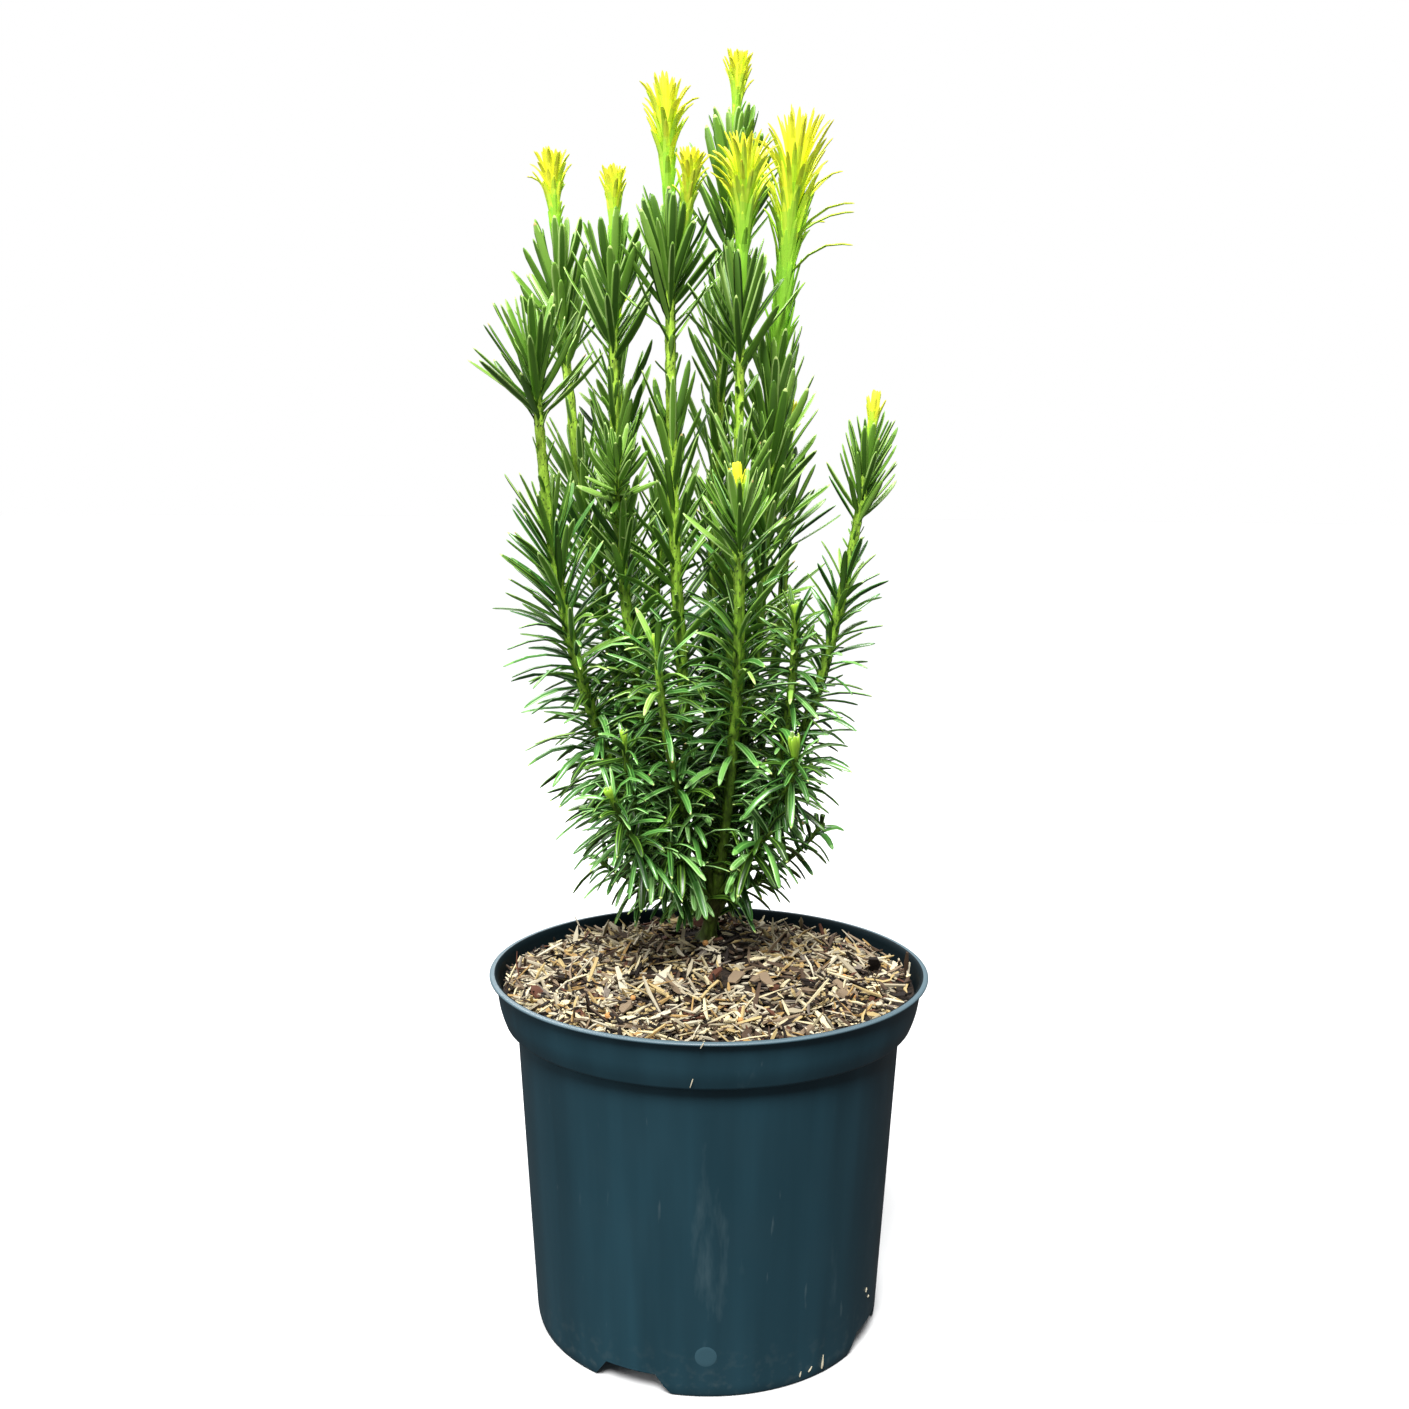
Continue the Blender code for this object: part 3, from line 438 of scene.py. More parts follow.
def stem_finish():
    """Stem skin: brown at the foot, then olive, green and lime, streaked and specked."""
    finish = Finish("stem_skin", STEM_TONES[1][1], 0.50, 0.30)
    height = finish.node("ShaderNodeSeparateXYZ", {"Vector": finish.place}).outputs["Z"]
    wander = finish.remap(finish.noise(60.0), 0.3, 0.7, -STEM_WANDER, STEM_WANDER)
    level = finish.node("ShaderNodeMath", {0: height, 1: wander}, operation="ADD").outputs["Value"]
    streaks = finish.remap(finish.noise(620.0, 3.0, (1.0, 1.0, 0.28)), 0.34, 0.66)
    skin = None
    for (low, high), colour in STEM_TONES:
        tone = finish.mix(streaks, shade(colour, 0.48), shade(colour, 1.45))
        skin = tone if skin is None else finish.mix(finish.remap(level, low, high), skin, tone)
    dots = finish.remap(finish.noise(1300.0, 1.0, (1.0, 1.0, 0.5)), 0.60, 0.68)
    finish.colour_from(finish.mix(dots, skin, STEM_SPECK))
    finish.bump(finish.noise(1500.0, 3.0, (1.0, 1.0, 0.3)), 0.5, 0.0004)
    return finish.material


def plastic_finish():
    """Satin petrol-blue plastic: upright streaks and pale smears, partly flow marks and smudges and
    partly painted reflection, a painted highlight on the lip, faint scuffs and dust.
    """
    base = PLASTIC
    finish = Finish("pot_plastic", base, 0.36, 0.30)
    # Upright streaks, darker and lighter: partly flow marks in the plastic, partly painted
    # reflection streaks.
    streaks = finish.remap(finish.noise(60.0, 3.0, (1.0, 1.0, 0.05)), 0.35, 0.65)
    skin = finish.mix(streaks, shade(base, 0.80), shade(base, 1.22))
    patches = finish.remap(finish.noise(14.0, 2.0), 0.35, 0.65, 0.0, 0.5)
    skin = finish.mix(patches, skin, shade(base, 0.90))
    height = finish.node("ShaderNodeSeparateXYZ", {"Vector": finish.place}).outputs["Z"]
    # Painted highlight: the top millimetre of the lip is lightened towards a pale grey-blue.
    lip_highlight = finish.remap(height, POT_HEIGHT - 0.0010, POT_HEIGHT - 0.0003, 0.0, 0.50)
    skin = finish.mix(lip_highlight, skin, (0.16, 0.22, 0.25))
    # Pale upright smears: partly smudges on the plastic, partly painted reflection.
    smears_and_reflections = finish.remap(finish.noise(42.0, 5.0, (1.0, 1.0, 0.20), 0.7), 0.62, 0.78, 0.0, 0.30)
    skin = finish.mix(smears_and_reflections, skin, (0.085, 0.130, 0.145))
    scratches = finish.remap(finish.noise(260.0, 3.0, (1.0, 1.0, 0.12), 0.6), 0.70, 0.76,
                             0.0, 0.22)
    skin = finish.mix(scratches, skin, (0.12, 0.16, 0.17))
    low = finish.remap(height, 0.026, 0.0, 0.0, 1.0)
    dust = finish.node("ShaderNodeMath", {
        0: low, 1: finish.remap(finish.noise(240.0, 4.0), 0.52, 0.78, 0.0, 0.22),
    }, operation="MULTIPLY").outputs["Value"]
    finish.colour_from(finish.mix(dust, skin, (0.13, 0.15, 0.14)))
    finish.roughness_from(finish.remap(finish.noise(45.0, 4.0), 0.3, 0.7, 0.32, 0.44))
    finish.bump(finish.noise(650.0, 2.0), 0.05, 0.0002)
    return finish.material


def soil_finish():
    """Damp dark compost with lighter crumbs."""
    dark = (0.009, 0.006, 0.004)
    finish = Finish("compost_crumb", dark, 0.92, 0.3)
    crumbs = finish.remap(finish.noise(420.0, 5.0, roughness=0.7), 0.42, 0.72)
    finish.colour_from(finish.mix(crumbs, dark, (0.048, 0.030, 0.018)))
    finish.bump(finish.noise(700.0, 5.0, roughness=0.75), 0.9, 0.0009)
    return finish.material


# Meshes

class Heap:
    """Points and faces of many small things, joined as one mesh."""

    def __init__(self):
        self.points = []
        self.faces = []
        self.slots = []

    def add(self, points, faces, slots):
        first = len(self.points)
        self.points.extend(points)
        self.faces.extend([tuple(first + corner for corner in face) for face in faces])
        self.slots.extend(slots)

    def piece(self, name, finishes, slot, smooth=True, nodes=()):
        """The heap as one object of the plant, riding on its only body."""
        mesh = bpy.data.meshes.new(name)
        mesh.from_pydata(self.points, [], self.faces)
        for finish in finishes:
            mesh.materials.append(finish)
        mesh.polygons.foreach_set("material_index", self.slots)
        mesh.polygons.foreach_set("use_smooth", [smooth] * len(self.faces))
        mesh.update()
        return settle(bpy.data.objects.new(name, mesh), nodes)


def settle(piece, nodes=()):
    """Put a piece in the scene on the root body, and hide the solids that it stands in for."""
    if piece.name not in bpy.context.scene.collection.objects:
        bpy.context.scene.collection.objects.link(piece)
    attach(piece, "root")
    if nodes:
        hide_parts(*nodes)
    return piece


def turned(profile, segments):
    """Spin an outline of (radius, height) pairs about the Z axis into a closed solid."""
    shape = bmesh.new()
    points = [shape.verts.new((radius, 0.0, height)) for radius, height in profile]
    edges = [shape.edges.new(pair) for pair in zip(points, points[1:])]
    bmesh.ops.spin(shape, geom=points + edges, cent=(0, 0, 0), axis=(0, 0, 1),
                   angle=math.tau, steps=segments, use_merge=True)
    bmesh.ops.remove_doubles(shape, verts=shape.verts, dist=1e-6)
    bmesh.ops.recalc_face_normals(shape, faces=shape.faces)
    return shape


def object_from(name, shape):
    mesh = bpy.data.meshes.new(name)
    shape.to_mesh(mesh)
    shape.free()
    made = bpy.data.objects.new(name, mesh)
    bpy.context.scene.collection.objects.link(made)
    return made


# The pot

def rounded(corners):
    """An outline with each corner (radius, height, rounding) eased by a short curve."""
    points = []
    for place, (radius, height, ease) in enumerate(corners):
        corner = Vector((radius, height))
        if ease == 0.0 or place in (0, len(corners) - 1):
            points.append(tuple(corner))
            continue
        before = Vector(corners[place - 1][:2])
        after = Vector(corners[place + 1][:2])
        start = corner + (before - corner).normalized() * min(ease, (before - corner).length * 0.5)
        end = corner + (after - corner).normalized() * min(ease, (after - corner).length * 0.5)
        for share in EASE_STEPS:
            eased = start.lerp(corner, share).lerp(corner.lerp(end, share), share)
            points.append(tuple(eased))
    return points


def floor_rib(radius):
    """The four corners of a low ring under the floor."""
    half, depth = FLOOR_RIB
    slope = 0.5 * half
    return [(radius - half - slope, FLOOR_UNDERSIDE_Z, 0.0005),
            (radius - half, FLOOR_UNDERSIDE_Z - depth, 0.0004),
            (radius + half, FLOOR_UNDERSIDE_Z - depth, 0.0004),
            (radius + half + slope, FLOOR_UNDERSIDE_Z, 0.0005)]


def pot_outline():
    """The pot's section: foot ring, tapered body, rolled band, lip, and the inside again."""
    lip_foot_z = POT_HEIGHT - LIP_DEPTH
    foot_inside = FOOT_RADIUS - FOOT_WALL
    return rounded([
        (0.0, FLOOR_UNDERSIDE_Z, 0.0),
        *floor_rib(FLOOR_RIBS[0]),
        *floor_rib(FLOOR_RIBS[1]),
        (foot_inside, FLOOR_UNDERSIDE_Z, 0.0010),
        (foot_inside, 0.0, 0.0005),
        (FOOT_RADIUS, 0.0, 0.0010),
        (BODY_FOOT_RADIUS, FOOT_ROUND, 0.0025),
        (BODY_TOP_RADIUS, BAND_FOOT_Z, 0.0012),
        (BAND_FOOT_RADIUS - BAND_ROUND, BAND_FOOT_Z, 0.0006),
        (BAND_FOOT_RADIUS, BAND_FOOT_Z + BAND_ROUND, 0.0006),
        (BAND_FOOT_RADIUS + BAND_FLARE[0], BAND_FOOT_Z + BAND_FLARE[1], 0.0030),
        (BAND_TOP_RADIUS, lip_foot_z, 0.0006),
        (LIP_RADIUS - 0.5 * LIP_ROUND, lip_foot_z, 0.0005),
        (LIP_RADIUS, POT_HEIGHT - LIP_ROUND, 0.0004),
        (LIP_RADIUS - LIP_ROUND, POT_HEIGHT, 0.0005),
        (LIP_RADIUS - LIP_WIDTH, POT_HEIGHT, 0.0006),
        (BAND_TOP_RADIUS - WALL, POT_HEIGHT - WALL, 0.0010),
        (BAND_FOOT_RADIUS - WALL, BAND_FOOT_Z + WALL, 0.0010),
        (BODY_TOP_RADIUS - WALL, BAND_FOOT_Z - WALL, 0.0020),
        (BODY_FOOT_RADIUS - WALL, FLOOR_UNDERSIDE_Z + WALL, 0.0010),
        (0.0, FLOOR_UNDERSIDE_Z + WALL, 0.0),
    ])


def notch_cutter(turn):
    """A wedge with sloped ends that cuts one drainage notch through the foot ring."""
    inner = FOOT_RADIUS - NOTCH_DEPTH_INSIDE * NOTCH_DEPTH
    slope = 0.5 * (NOTCH_WIDTH - NOTCH_ROOF_WIDTH) / NOTCH_HEIGHT
    half_mouth = 0.5 * NOTCH_WIDTH + slope * NOTCH_BELOW
    half_roof = 0.5 * NOTCH_ROOF_WIDTH
    corners = [(-half_mouth, -NOTCH_BELOW), (half_mouth, -NOTCH_BELOW),
               (half_roof, NOTCH_HEIGHT), (-half_roof, NOTCH_HEIGHT)]
    shape = bmesh.new()
    face = shape.faces.new([shape.verts.new((x, -inner, z)) for x, z in corners])
    pulled = bmesh.ops.extrude_face_region(shape, geom=[face])
    moved = [item for item in pulled["geom"] if isinstance(item, bmesh.types.BMVert)]
    bmesh.ops.translate(shape, verts=moved, vec=(0.0, -NOTCH_DEPTH, 0.0))
    bmesh.ops.recalc_face_normals(shape, faces=shape.faces)
    cutter = object_from("notch_cutter", shape)
    cutter.rotation_euler = (0.0, 0.0, turn)
    return cutter


def body_radius(height):
    """The tapered body's outside."""
    share = (height - FOOT_ROUND) / (BAND_FOOT_Z - FOOT_ROUND)
    return BODY_FOOT_RADIUS + (BODY_TOP_RADIUS - BODY_FOOT_RADIUS) * share


def outer_radius(height):
    """The pot's outside: body, band or lip."""
    if height < BAND_FOOT_Z:
        return body_radius(height)
    if height > POT_HEIGHT - LIP_DEPTH:
        return LIP_RADIUS
    share = (height - BAND_FOOT_Z) / (POT_HEIGHT - BAND_FOOT_Z)
    flared = BAND_FOOT_RADIUS + BAND_FLARE[0]
    return flared + (BAND_TOP_RADIUS - flared) * share


def mould_mark():
    """A round mark that stands a hair proud of the body, low on the front."""
    shape = bmesh.new()
    loops = []
    for ring in range(1, MARK_RINGS + 1):
        spread = MARK_RADIUS * ring / MARK_RINGS
        proud = MARK_RELIEF * (1.0 - smooth_step(0.80, 1.0, ring / MARK_RINGS)) - MARK_SUNK
        loop = []
        for side in range(MARK_SIDES):
            angle = math.tau * side / MARK_SIDES
            across = spread * math.cos(angle)
            height = MARK_Z + spread * math.sin(angle)
            radius = body_radius(height) + proud
            turn = across / radius
            loop.append(shape.verts.new((radius * math.sin(turn), -radius * math.cos(turn),
                                         height)))
        loops.append(loop)
    for inner, outer in zip(loops, loops[1:]):
        for side in range(MARK_SIDES):
            after = (side + 1) % MARK_SIDES
            shape.faces.new((inner[side], outer[side], outer[after], inner[after]))
    shape.faces.new(loops[0])
    bmesh.ops.recalc_face_normals(shape, faces=shape.faces)
    return shape


def make_pot():
    pot = object_from("pot_shell", turned(pot_outline(), POT_SEGMENTS))
    cutters = [notch_cutter(NOTCH_TURN + math.tau * turn / NOTCH_COUNT)
               for turn in range(NOTCH_COUNT)]
    for cutter in cutters:
        cut = pot.modifiers.new("notch", "BOOLEAN")
        cut.operation = "DIFFERENCE"
        cut.object = cutter
    bpy.context.view_layer.update()
    depsgraph = bpy.context.evaluated_depsgraph_get()
    pot.data = bpy.data.meshes.new_from_object(pot.evaluated_get(depsgraph))
    pot.modifiers.clear()
    for cutter in cutters:
        bpy.data.objects.remove(cutter, do_unlink=True)
    pot.data.materials.clear()
    pot.data.materials.append(plastic_finish())
    pot.data.materials.append(plain("pot_inside", POT_INSIDE, 0.60, 0.05))
    for face in pot.data.polygons:
        inward = face.center.x * face.normal.x + face.center.y * face.normal.y < 0.0
        if inward and face.center.z > FLOOR_UNDERSIDE_Z:
            face.material_index = 1
    pot.data.shade_smooth()
    pot.data.set_sharp_from_angle(angle=math.radians(40))
    settle(pot, ["pot"])
    mark = object_from("pot_mould_mark", mould_mark())
    scuffed = Finish("pot_mark_plastic", (0.026, 0.062, 0.080), 0.42, 0.20)
    scuffed.bump(scuffed.noise(900.0, 3.0), 0.15, 0.0002)
    mark.data.materials.append(scuffed.material)
    mark.data.shade_smooth()
    settle(mark)


# Compost and mulch

def pot_inside_radius(height):
    share = (height - BAND_FOOT_Z - WALL) / (POT_HEIGHT - BAND_FOOT_Z - 2 * WALL)
    return BAND_FOOT_RADIUS - WALL + (BAND_TOP_RADIUS - BAND_FOOT_RADIUS) * share


def round_loop(radius, height):
    return [(radius * math.cos(math.tau * side / SOIL_SEGMENTS),
             radius * math.sin(math.tau * side / SOIL_SEGMENTS), height)
            for side in range(SOIL_SEGMENTS)]


def soil_rings():
    """Loops from the crumbly top's middle out to its edge, and down the plain body below."""
    edge = pot_inside_radius(SOIL_EDGE_Z) - SOIL_GAP
    top_z = STEM_FOOT.z - SOIL_GAP
    stations = [0.0, SOIL_LEVEL_RADIUS, SOIL_INNER_RING[0], SOIL_OUTER_RING[0], edge]
    levels = [top_z, top_z, top_z - SOIL_INNER_RING[1], SOIL_EDGE_Z + SOIL_OUTER_RING[1],
              SOIL_EDGE_Z]
    rings = []
    for ring in range(1, SOIL_RINGS + 1):
        inward = 1.0 - ring / SOIL_RINGS
        radius = edge * ring / SOIL_RINGS
        level = float(np.interp(radius, stations, levels))
        shift = min(1.0, inward * SOIL_SHIFT)
        calm = smooth_step(0.0, 0.03, inward)
        loop = []
        for x, y, _ in round_loop(radius, level):
            x += STEM_FOOT.x * shift
            y += STEM_FOOT.y * shift
            clods = noise.fractal(Vector((x, y, 0.0)) / CLOD_SIZE, 0.8, 2.1, 4)
            swell = noise.noise(Vector((x, y, 0.1)) / SWELL_SIZE)
            loop.append((x, y, level + calm * (CLOD_RELIEF * clods + SWELL_RELIEF * swell)))
        rings.append(loop)
    rings.append(round_loop(BAND_FOOT_RADIUS - WALL - SOIL_GAP, BAND_FOOT_Z + WALL))
    rings.append(round_loop(BODY_TOP_RADIUS - WALL - SOIL_GAP, BAND_FOOT_Z - WALL))
    rings.append(round_loop(BODY_FOOT_RADIUS - WALL - SOIL_GAP,
                            FLOOR_UNDERSIDE_Z + WALL + SOIL_GAP))
    return rings


def make_soil():
    """The compost in the pot; gives back what the mulch lies on."""
    rings = soil_rings()
    middle = (STEM_FOOT.x, STEM_FOOT.y, STEM_FOOT.z - SOIL_GAP)
    points = [middle, (0.0, 0.0, FLOOR_UNDERSIDE_Z + WALL + SOIL_GAP)]
    points.extend(point for loop in rings for point in loop)
    faces = []
    last = 2 + (len(rings) - 1) * SOIL_SEGMENTS
    for side in range(SOIL_SEGMENTS):
        after = (side + 1) % SOIL_SEGMENTS
        faces.append((0, 2 + side, 2 + after))
        for ring in range(len(rings) - 1):
            first = 2 + ring * SOIL_SEGMENTS
            second = first + SOIL_SEGMENTS
            faces.append((first + side, second + side, second + after, first + after))
        faces.append((last + after, last + side, 1))
    heap = Heap()
    heap.add(points, faces, [0] * len(faces))
    heap.piece("compost_body", [soil_finish()], "compost", nodes=["soil"])
    return BVHTree.FromPolygons(points, faces)


# Wood tones: colour, share among the splinters, and the darker tone of a splinter's end grain and
# of its faces given painted shade
WOODS = {
    "wood_bone": ((0.450, 0.403, 0.292), 0.17, "wood_sand"),
    "wood_cream": ((0.527, 0.455, 0.282), 0.16, "wood_straw"),
    "wood_sand": ((0.288, 0.247, 0.168), 0.13, "wood_tan"),
    "wood_straw": ((0.378, 0.286, 0.130), 0.12, "wood_gold"),
    "wood_gold": ((0.300, 0.190, 0.070), 0.06, "wood_brown"),
    "wood_tan": ((0.180, 0.130, 0.082), 0.09, "wood_brown"),
    "wood_grey": ((0.150, 0.125, 0.100), 0.06, "wood_brown"),
    "wood_brown": ((0.058, 0.036, 0.022), 0.11, "wood_dark"),
    "wood_red": ((0.080, 0.030, 0.016), 0.04, "wood_brown"),
    "wood_dark": ((0.012, 0.008, 0.006), 0.14, "wood_dark"),
    "granule": ((0.420, 0.210, 0.070), 0.0, "granule"),
}
WOOD_NAMES = list(WOODS)
CHIP_TONES = {"wood_sand": 0.04, "wood_tan": 0.20, "wood_brown": 0.30, "wood_red": 0.20,
              "wood_dark": 0.20}

# Splinters: three four-cornered rings along their length. The faces are the two ends, and
# then one side, the top, the other side and the underside of each half.
SPLINTER_FACES = [(0, 3, 2, 1), (8, 9, 10, 11)]
SPLINTER_FACES += [(ring * 4 + side, ring * 4 + (side + 1) % 4,
                    ring * 4 + 4 + (side + 1) % 4, ring * 4 + 4 + side)
                   for ring in range(2) for side in range(4)]

Splinter = namedtuple("Splinter", "length width thickness yaw tilt roll")


def splinter_points(rng, centre, shape, ends):
    """A sliver of wood about its centre, with uneven rings and a slight bow."""
    spin = (Matrix.Rotation(shape.yaw, 3, "Z") @ Matrix.Rotation(-shape.tilt, 3, "Y")
            @ Matrix.Rotation(shape.roll, 3, "X"))
    bow = rng.uniform(-0.06, 0.06) * shape.length
    middle = rng.uniform(-0.2, 0.2)
    points = []
    for along, size, bend in ((-0.5, ends[0], 0.0), (middle, 1.0, bow), (0.5, ends[1], 0.0)):
        for side, lift in ((-0.5, -0.5), (0.5, -0.5), (0.5, 0.5), (-0.5, 0.5)):
            point = Vector((along * shape.length,
                            side * shape.width * size * rng.uniform(0.75, 1.2) + bend,
                            lift * shape.thickness * size * rng.uniform(0.7, 1.3)))
            points.append(centre + spin @ point)
    return points


def splinter_slots(rng, tone):
    """A splinter's tone, with its darker fellow on the ends as end grain, and as painted shade on
    its underside and on some of its sides.
    """
    main = WOOD_NAMES.index(tone)
    dark = WOOD_NAMES.index(WOODS[tone][2])
    slots = [dark, dark]
    for _ in range(2):
        # Painted shade: the underside always, and one side of each half at times, get the darker
        # tone.
        side_painted_shade = dark if rng.random() < 0.35 else main
        slots += [dark, side_painted_shade, main, main]
    return slots


def ground_height(ground, x, y):
    hit = ground.ray_cast(Vector((x, y, 2 * POT_HEIGHT)), -UP)[0]
    return hit.z


def lay_splinter(heap, ground, rng, place, shape, tone, ends):
    """Put a splinter down on the compost, pushed in where it would stick through the pot."""
    x, y = place
    reach = 0.5 * shape.length * math.cos(shape.tilt)
    ways = [(x + sign * reach * math.cos(shape.yaw), y + sign * reach * math.sin(shape.yaw))
            for sign in (-1, 1)]
    far = max(math.hypot(*way) for way in ways)
    height = ground_height(ground, x, y)
    room = pot_inside_radius(height) - shape.width
    if far > room:
        pull = 1.0 - (far - room) / math.hypot(x, y)
        x, y = x * pull, y * pull
        height = ground_height(ground, x, y)
    lift = 0.5 * shape.length * abs(math.sin(shape.tilt)) + MULCH_DEPTH * rng.random() ** 1.5
    points = splinter_points(rng, Vector((x, y, height + lift)), shape, ends)
    heap.add(points, SPLINTER_FACES, splinter_slots(rng, tone))


def scatter_splinters(ground, rng, heap):
    """Splinters of mulch lying on the compost, thinner round the stem and in a few hollows."""
    shares = [share for _, share, _ in WOODS.values()]
    placed = 0
    while placed < SPLINTERS:
        radius = MULCH_RADIUS * math.sqrt(rng.random())
        angle = rng.uniform(0.0, math.tau)
        x, y = radius * math.cos(angle), radius * math.sin(angle)
        hollow = noise.noise(Vector((x * 42.0, y * 42.0, 7.0)))
        from_stem = math.hypot(x - STEM_FOOT.x, y - STEM_FOOT.y)
        behind = smooth_step(0.020, 0.075, y)
        beside = smooth_step(0.000, 0.070, x)
        cover = smooth_step(-0.45, 0.05, hollow) * (1.0 - 0.38 * behind) * (1.0 - 0.35 * beside)
        cover *= 0.25 + 0.75 * smooth_step(0.010, 0.040, from_stem)
        if rng.random() > 0.10 + 0.90 * cover:
            continue
        tilt = math.radians(rng.gauss(0.0, 15.0))
        if rng.random() < 0.06:
            tilt = math.radians(rng.uniform(25.0, 65.0))
        shape = Splinter(min(LONGEST_SPLINTER, SPLINTER_LENGTH * math.exp(rng.gauss(0.0, 0.48))),
                         min(WIDEST_SPLINTER, SPLINTER_WIDTH * math.exp(rng.gauss(0.0, 0.42))),
                         rng.uniform(0.0004, 0.0011), rng.uniform(0.0, math.tau), tilt,
                         rng.uniform(-0.7, 0.7))
        tone = rng.choices(WOOD_NAMES, shares)[0]
        ends = (rng.uniform(0.15, 0.85), rng.uniform(0.15, 0.85))
        lay_splinter(heap, ground, rng, (x, y), shape, tone, ends)
        placed += 1


def scatter_chips(ground, rng, heap):
    """Broad flakes of bark and wood among the splinters."""
    for _ in range(CHIPS):
        radius = 0.95 * MULCH_RADIUS * math.sqrt(rng.random())
        angle = rng.uniform(0.0, math.tau)
        length = rng.uniform(0.0035, 0.0095)
        shape = Splinter(length, length * rng.uniform(0.45, 0.8), rng.uniform(0.0008, 0.0020),
                         rng.uniform(0.0, math.tau), math.radians(rng.gauss(0.0, 16.0)),
                         rng.uniform(-0.3, 0.3))
        tone = rng.choices(list(CHIP_TONES), CHIP_TONES.values())[0]
        ends = (rng.uniform(0.4, 0.9), rng.uniform(0.4, 0.9))
        place = (radius * math.cos(angle), radius * math.sin(angle))
        lay_splinter(heap, ground, rng, place, shape, tone, ends)


def lay_features(ground, rng, heap):
    """The pieces that stand out in the photo: a large pale flake, long straws and uprights."""
    for place, length, width, yaw, tilt, tone in (
            ((-0.0200, -0.0240), 0.0190, 0.0048, 62.0, 22.0, "wood_bone"),
            ((0.0420, -0.0260), 0.0150, 0.0042, 12.0, 10.0, "wood_cream"),
            ((0.0330, 0.0130), 0.0210, 0.0012, 38.0, 6.0, "wood_sand"),
            ((-0.0440, 0.0080), 0.0150, 0.0034, -40.0, 12.0, "wood_sand"),
            ((-0.0480, 0.0420), 0.0160, 0.0016, -70.0, 48.0, "wood_bone"),
            ((-0.0120, 0.0150), 0.0170, 0.0015, 80.0, 66.0, "wood_sand"),
            ((-0.0620, 0.0420), 0.0110, 0.0022, 75.0, 62.0, "wood_bone"),
            ((0.0200, -0.0560), 0.0160, 0.0030, 15.0, 6.0, "wood_cream"),
            ((-0.0300, -0.0620), 0.0150, 0.0026, -20.0, 8.0, "wood_cream")):
        shape = Splinter(length, width, 0.0010, math.radians(yaw), math.radians(tilt), 0.2)
        lay_splinter(heap, ground, rng, place, shape, tone, (0.75, 0.12))


def granule(centre, radius):
    """A small ball: rings of corners between two poles."""
    sides, bands = 8, 5
    points = [centre - UP * radius, centre + UP * radius]
    for band in range(1, bands):
        polar = math.pi * band / bands
        for side in range(sides):
            angle = math.tau * side / sides
            points.append(centre + radius * Vector((
                math.sin(polar) * math.cos(angle), math.sin(polar) * math.sin(angle),
                -math.cos(polar))))
    faces = []
    top = 2 + (bands - 2) * sides
    for side in range(sides):
        after = (side + 1) % sides
        faces.append((0, 2 + after, 2 + side))
        faces.append((1, top + side, top + after))
        for band in range(bands - 2):
            first = 2 + band * sides
            faces.append((first + side, first + after, first + sides + after,
                          first + sides + side))
    return points, faces


def scatter_granules(ground, rng, heap):
    """Tan feed granules, half sunk among the splinters."""
    for _ in range(GRANULES):
        distance = 0.80 * MULCH_RADIUS * math.sqrt(rng.random())
        angle = rng.uniform(0.0, math.tau)
        x, y = distance * math.cos(angle), distance * math.sin(angle)
        centre = Vector((x, y, ground_height(ground, x, y) + MULCH_DEPTH * rng.uniform(0.6, 1.1)))
        points, faces = granule(centre, rng.uniform(*GRANULE_RADIUS))
        heap.add(points, faces, [WOOD_NAMES.index("granule")] * len(faces))


# Wood flecks stuck to the pot: degrees from the front towards +X, height, length, width, and
# degrees that they stand up
FLECKS = [
    (-1.4, 0.1549, 0.0024, 0.0009, 60.0),
    (-3.9, 0.1384, 0.0036, 0.0006, 72.0),
    (39.4, 0.0060, 0.0060, 0.0011, 84.0),
    (34.5, 0.0050, 0.0026, 0.0007, 50.0),
    (30.7, 0.0044, 0.0024, 0.0007, 75.0),
    (62.4, 0.0248, 0.0018, 0.0007, 60.0),
    (65.0, 0.0202, 0.0014, 0.0006, 20.0),
]


def stick_flecks(rng, heap):
    for turn, height, length, width, steep in FLECKS:
        angle = math.radians(turn)
        radius = outer_radius(height) + 0.0001
        centre = Vector((radius * math.sin(angle), -radius * math.cos(angle), height))
        shape = Splinter(length, width, 0.0004, 0.0, math.radians(steep), 0.0)
        flat = splinter_points(rng, Vector((0.0, 0.0, 0.0)), shape, (0.5, 0.5))
        spin = Matrix.Rotation(angle, 3, "Z")
        heap.add([centre + spin @ point for point in flat], SPLINTER_FACES,
                 [WOOD_NAMES.index("wood_bone")] * len(SPLINTER_FACES))


def make_mulch(ground):
    rng = random.Random(SEED)
    heap = Heap()
    scatter_splinters(ground, rng, heap)
    scatter_chips(ground, rng, heap)
    lay_features(ground, rng, heap)
    scatter_granules(ground, rng, heap)
    stick_flecks(rng, heap)
    finishes = [plain(name, colour, 0.85, 0.25) for name, (colour, _, _) in WOODS.items()]
    heap.piece("wood_mulch", finishes, "compost", smooth=False)


# Limbs, by the rule of the solids

def curve_points(foot, knee, tip):
    """Points a millimetre apart on the smooth curve that leaves the foot for the knee and
    ends at the tip."""
    foot, knee, tip = Vector(foot), Vector(knee), Vector(tip)
    rough = [(1 - t) ** 2 * foot + 2 * t * (1 - t) * knee + t * t * tip
             for t in [step / CURVE_SAMPLES for step in range(CURVE_SAMPLES + 1)]]
    points = [rough[0]]
    for point in rough[1:]:
        if (point - points[-1]).length >= PATH_STEP:
            points.append(point)
    return points


def tapered(points, foot_radius, tip_radius):
    last = len(points) - 1
    radii = [foot_radius + (tip_radius - foot_radius) * place / last
             for place in range(len(points))]
    return Limb(points, radii)


def index_at_height(limb, height):
    return min(range(len(limb.points)), key=lambda place: abs(limb.points[place].z - height))


def tangents(points):
    last = len(points) - 1
    return [(points[min(last, place + 2)] - points[max(0, place - 2)]).normalized()
            for place in range(len(points))]


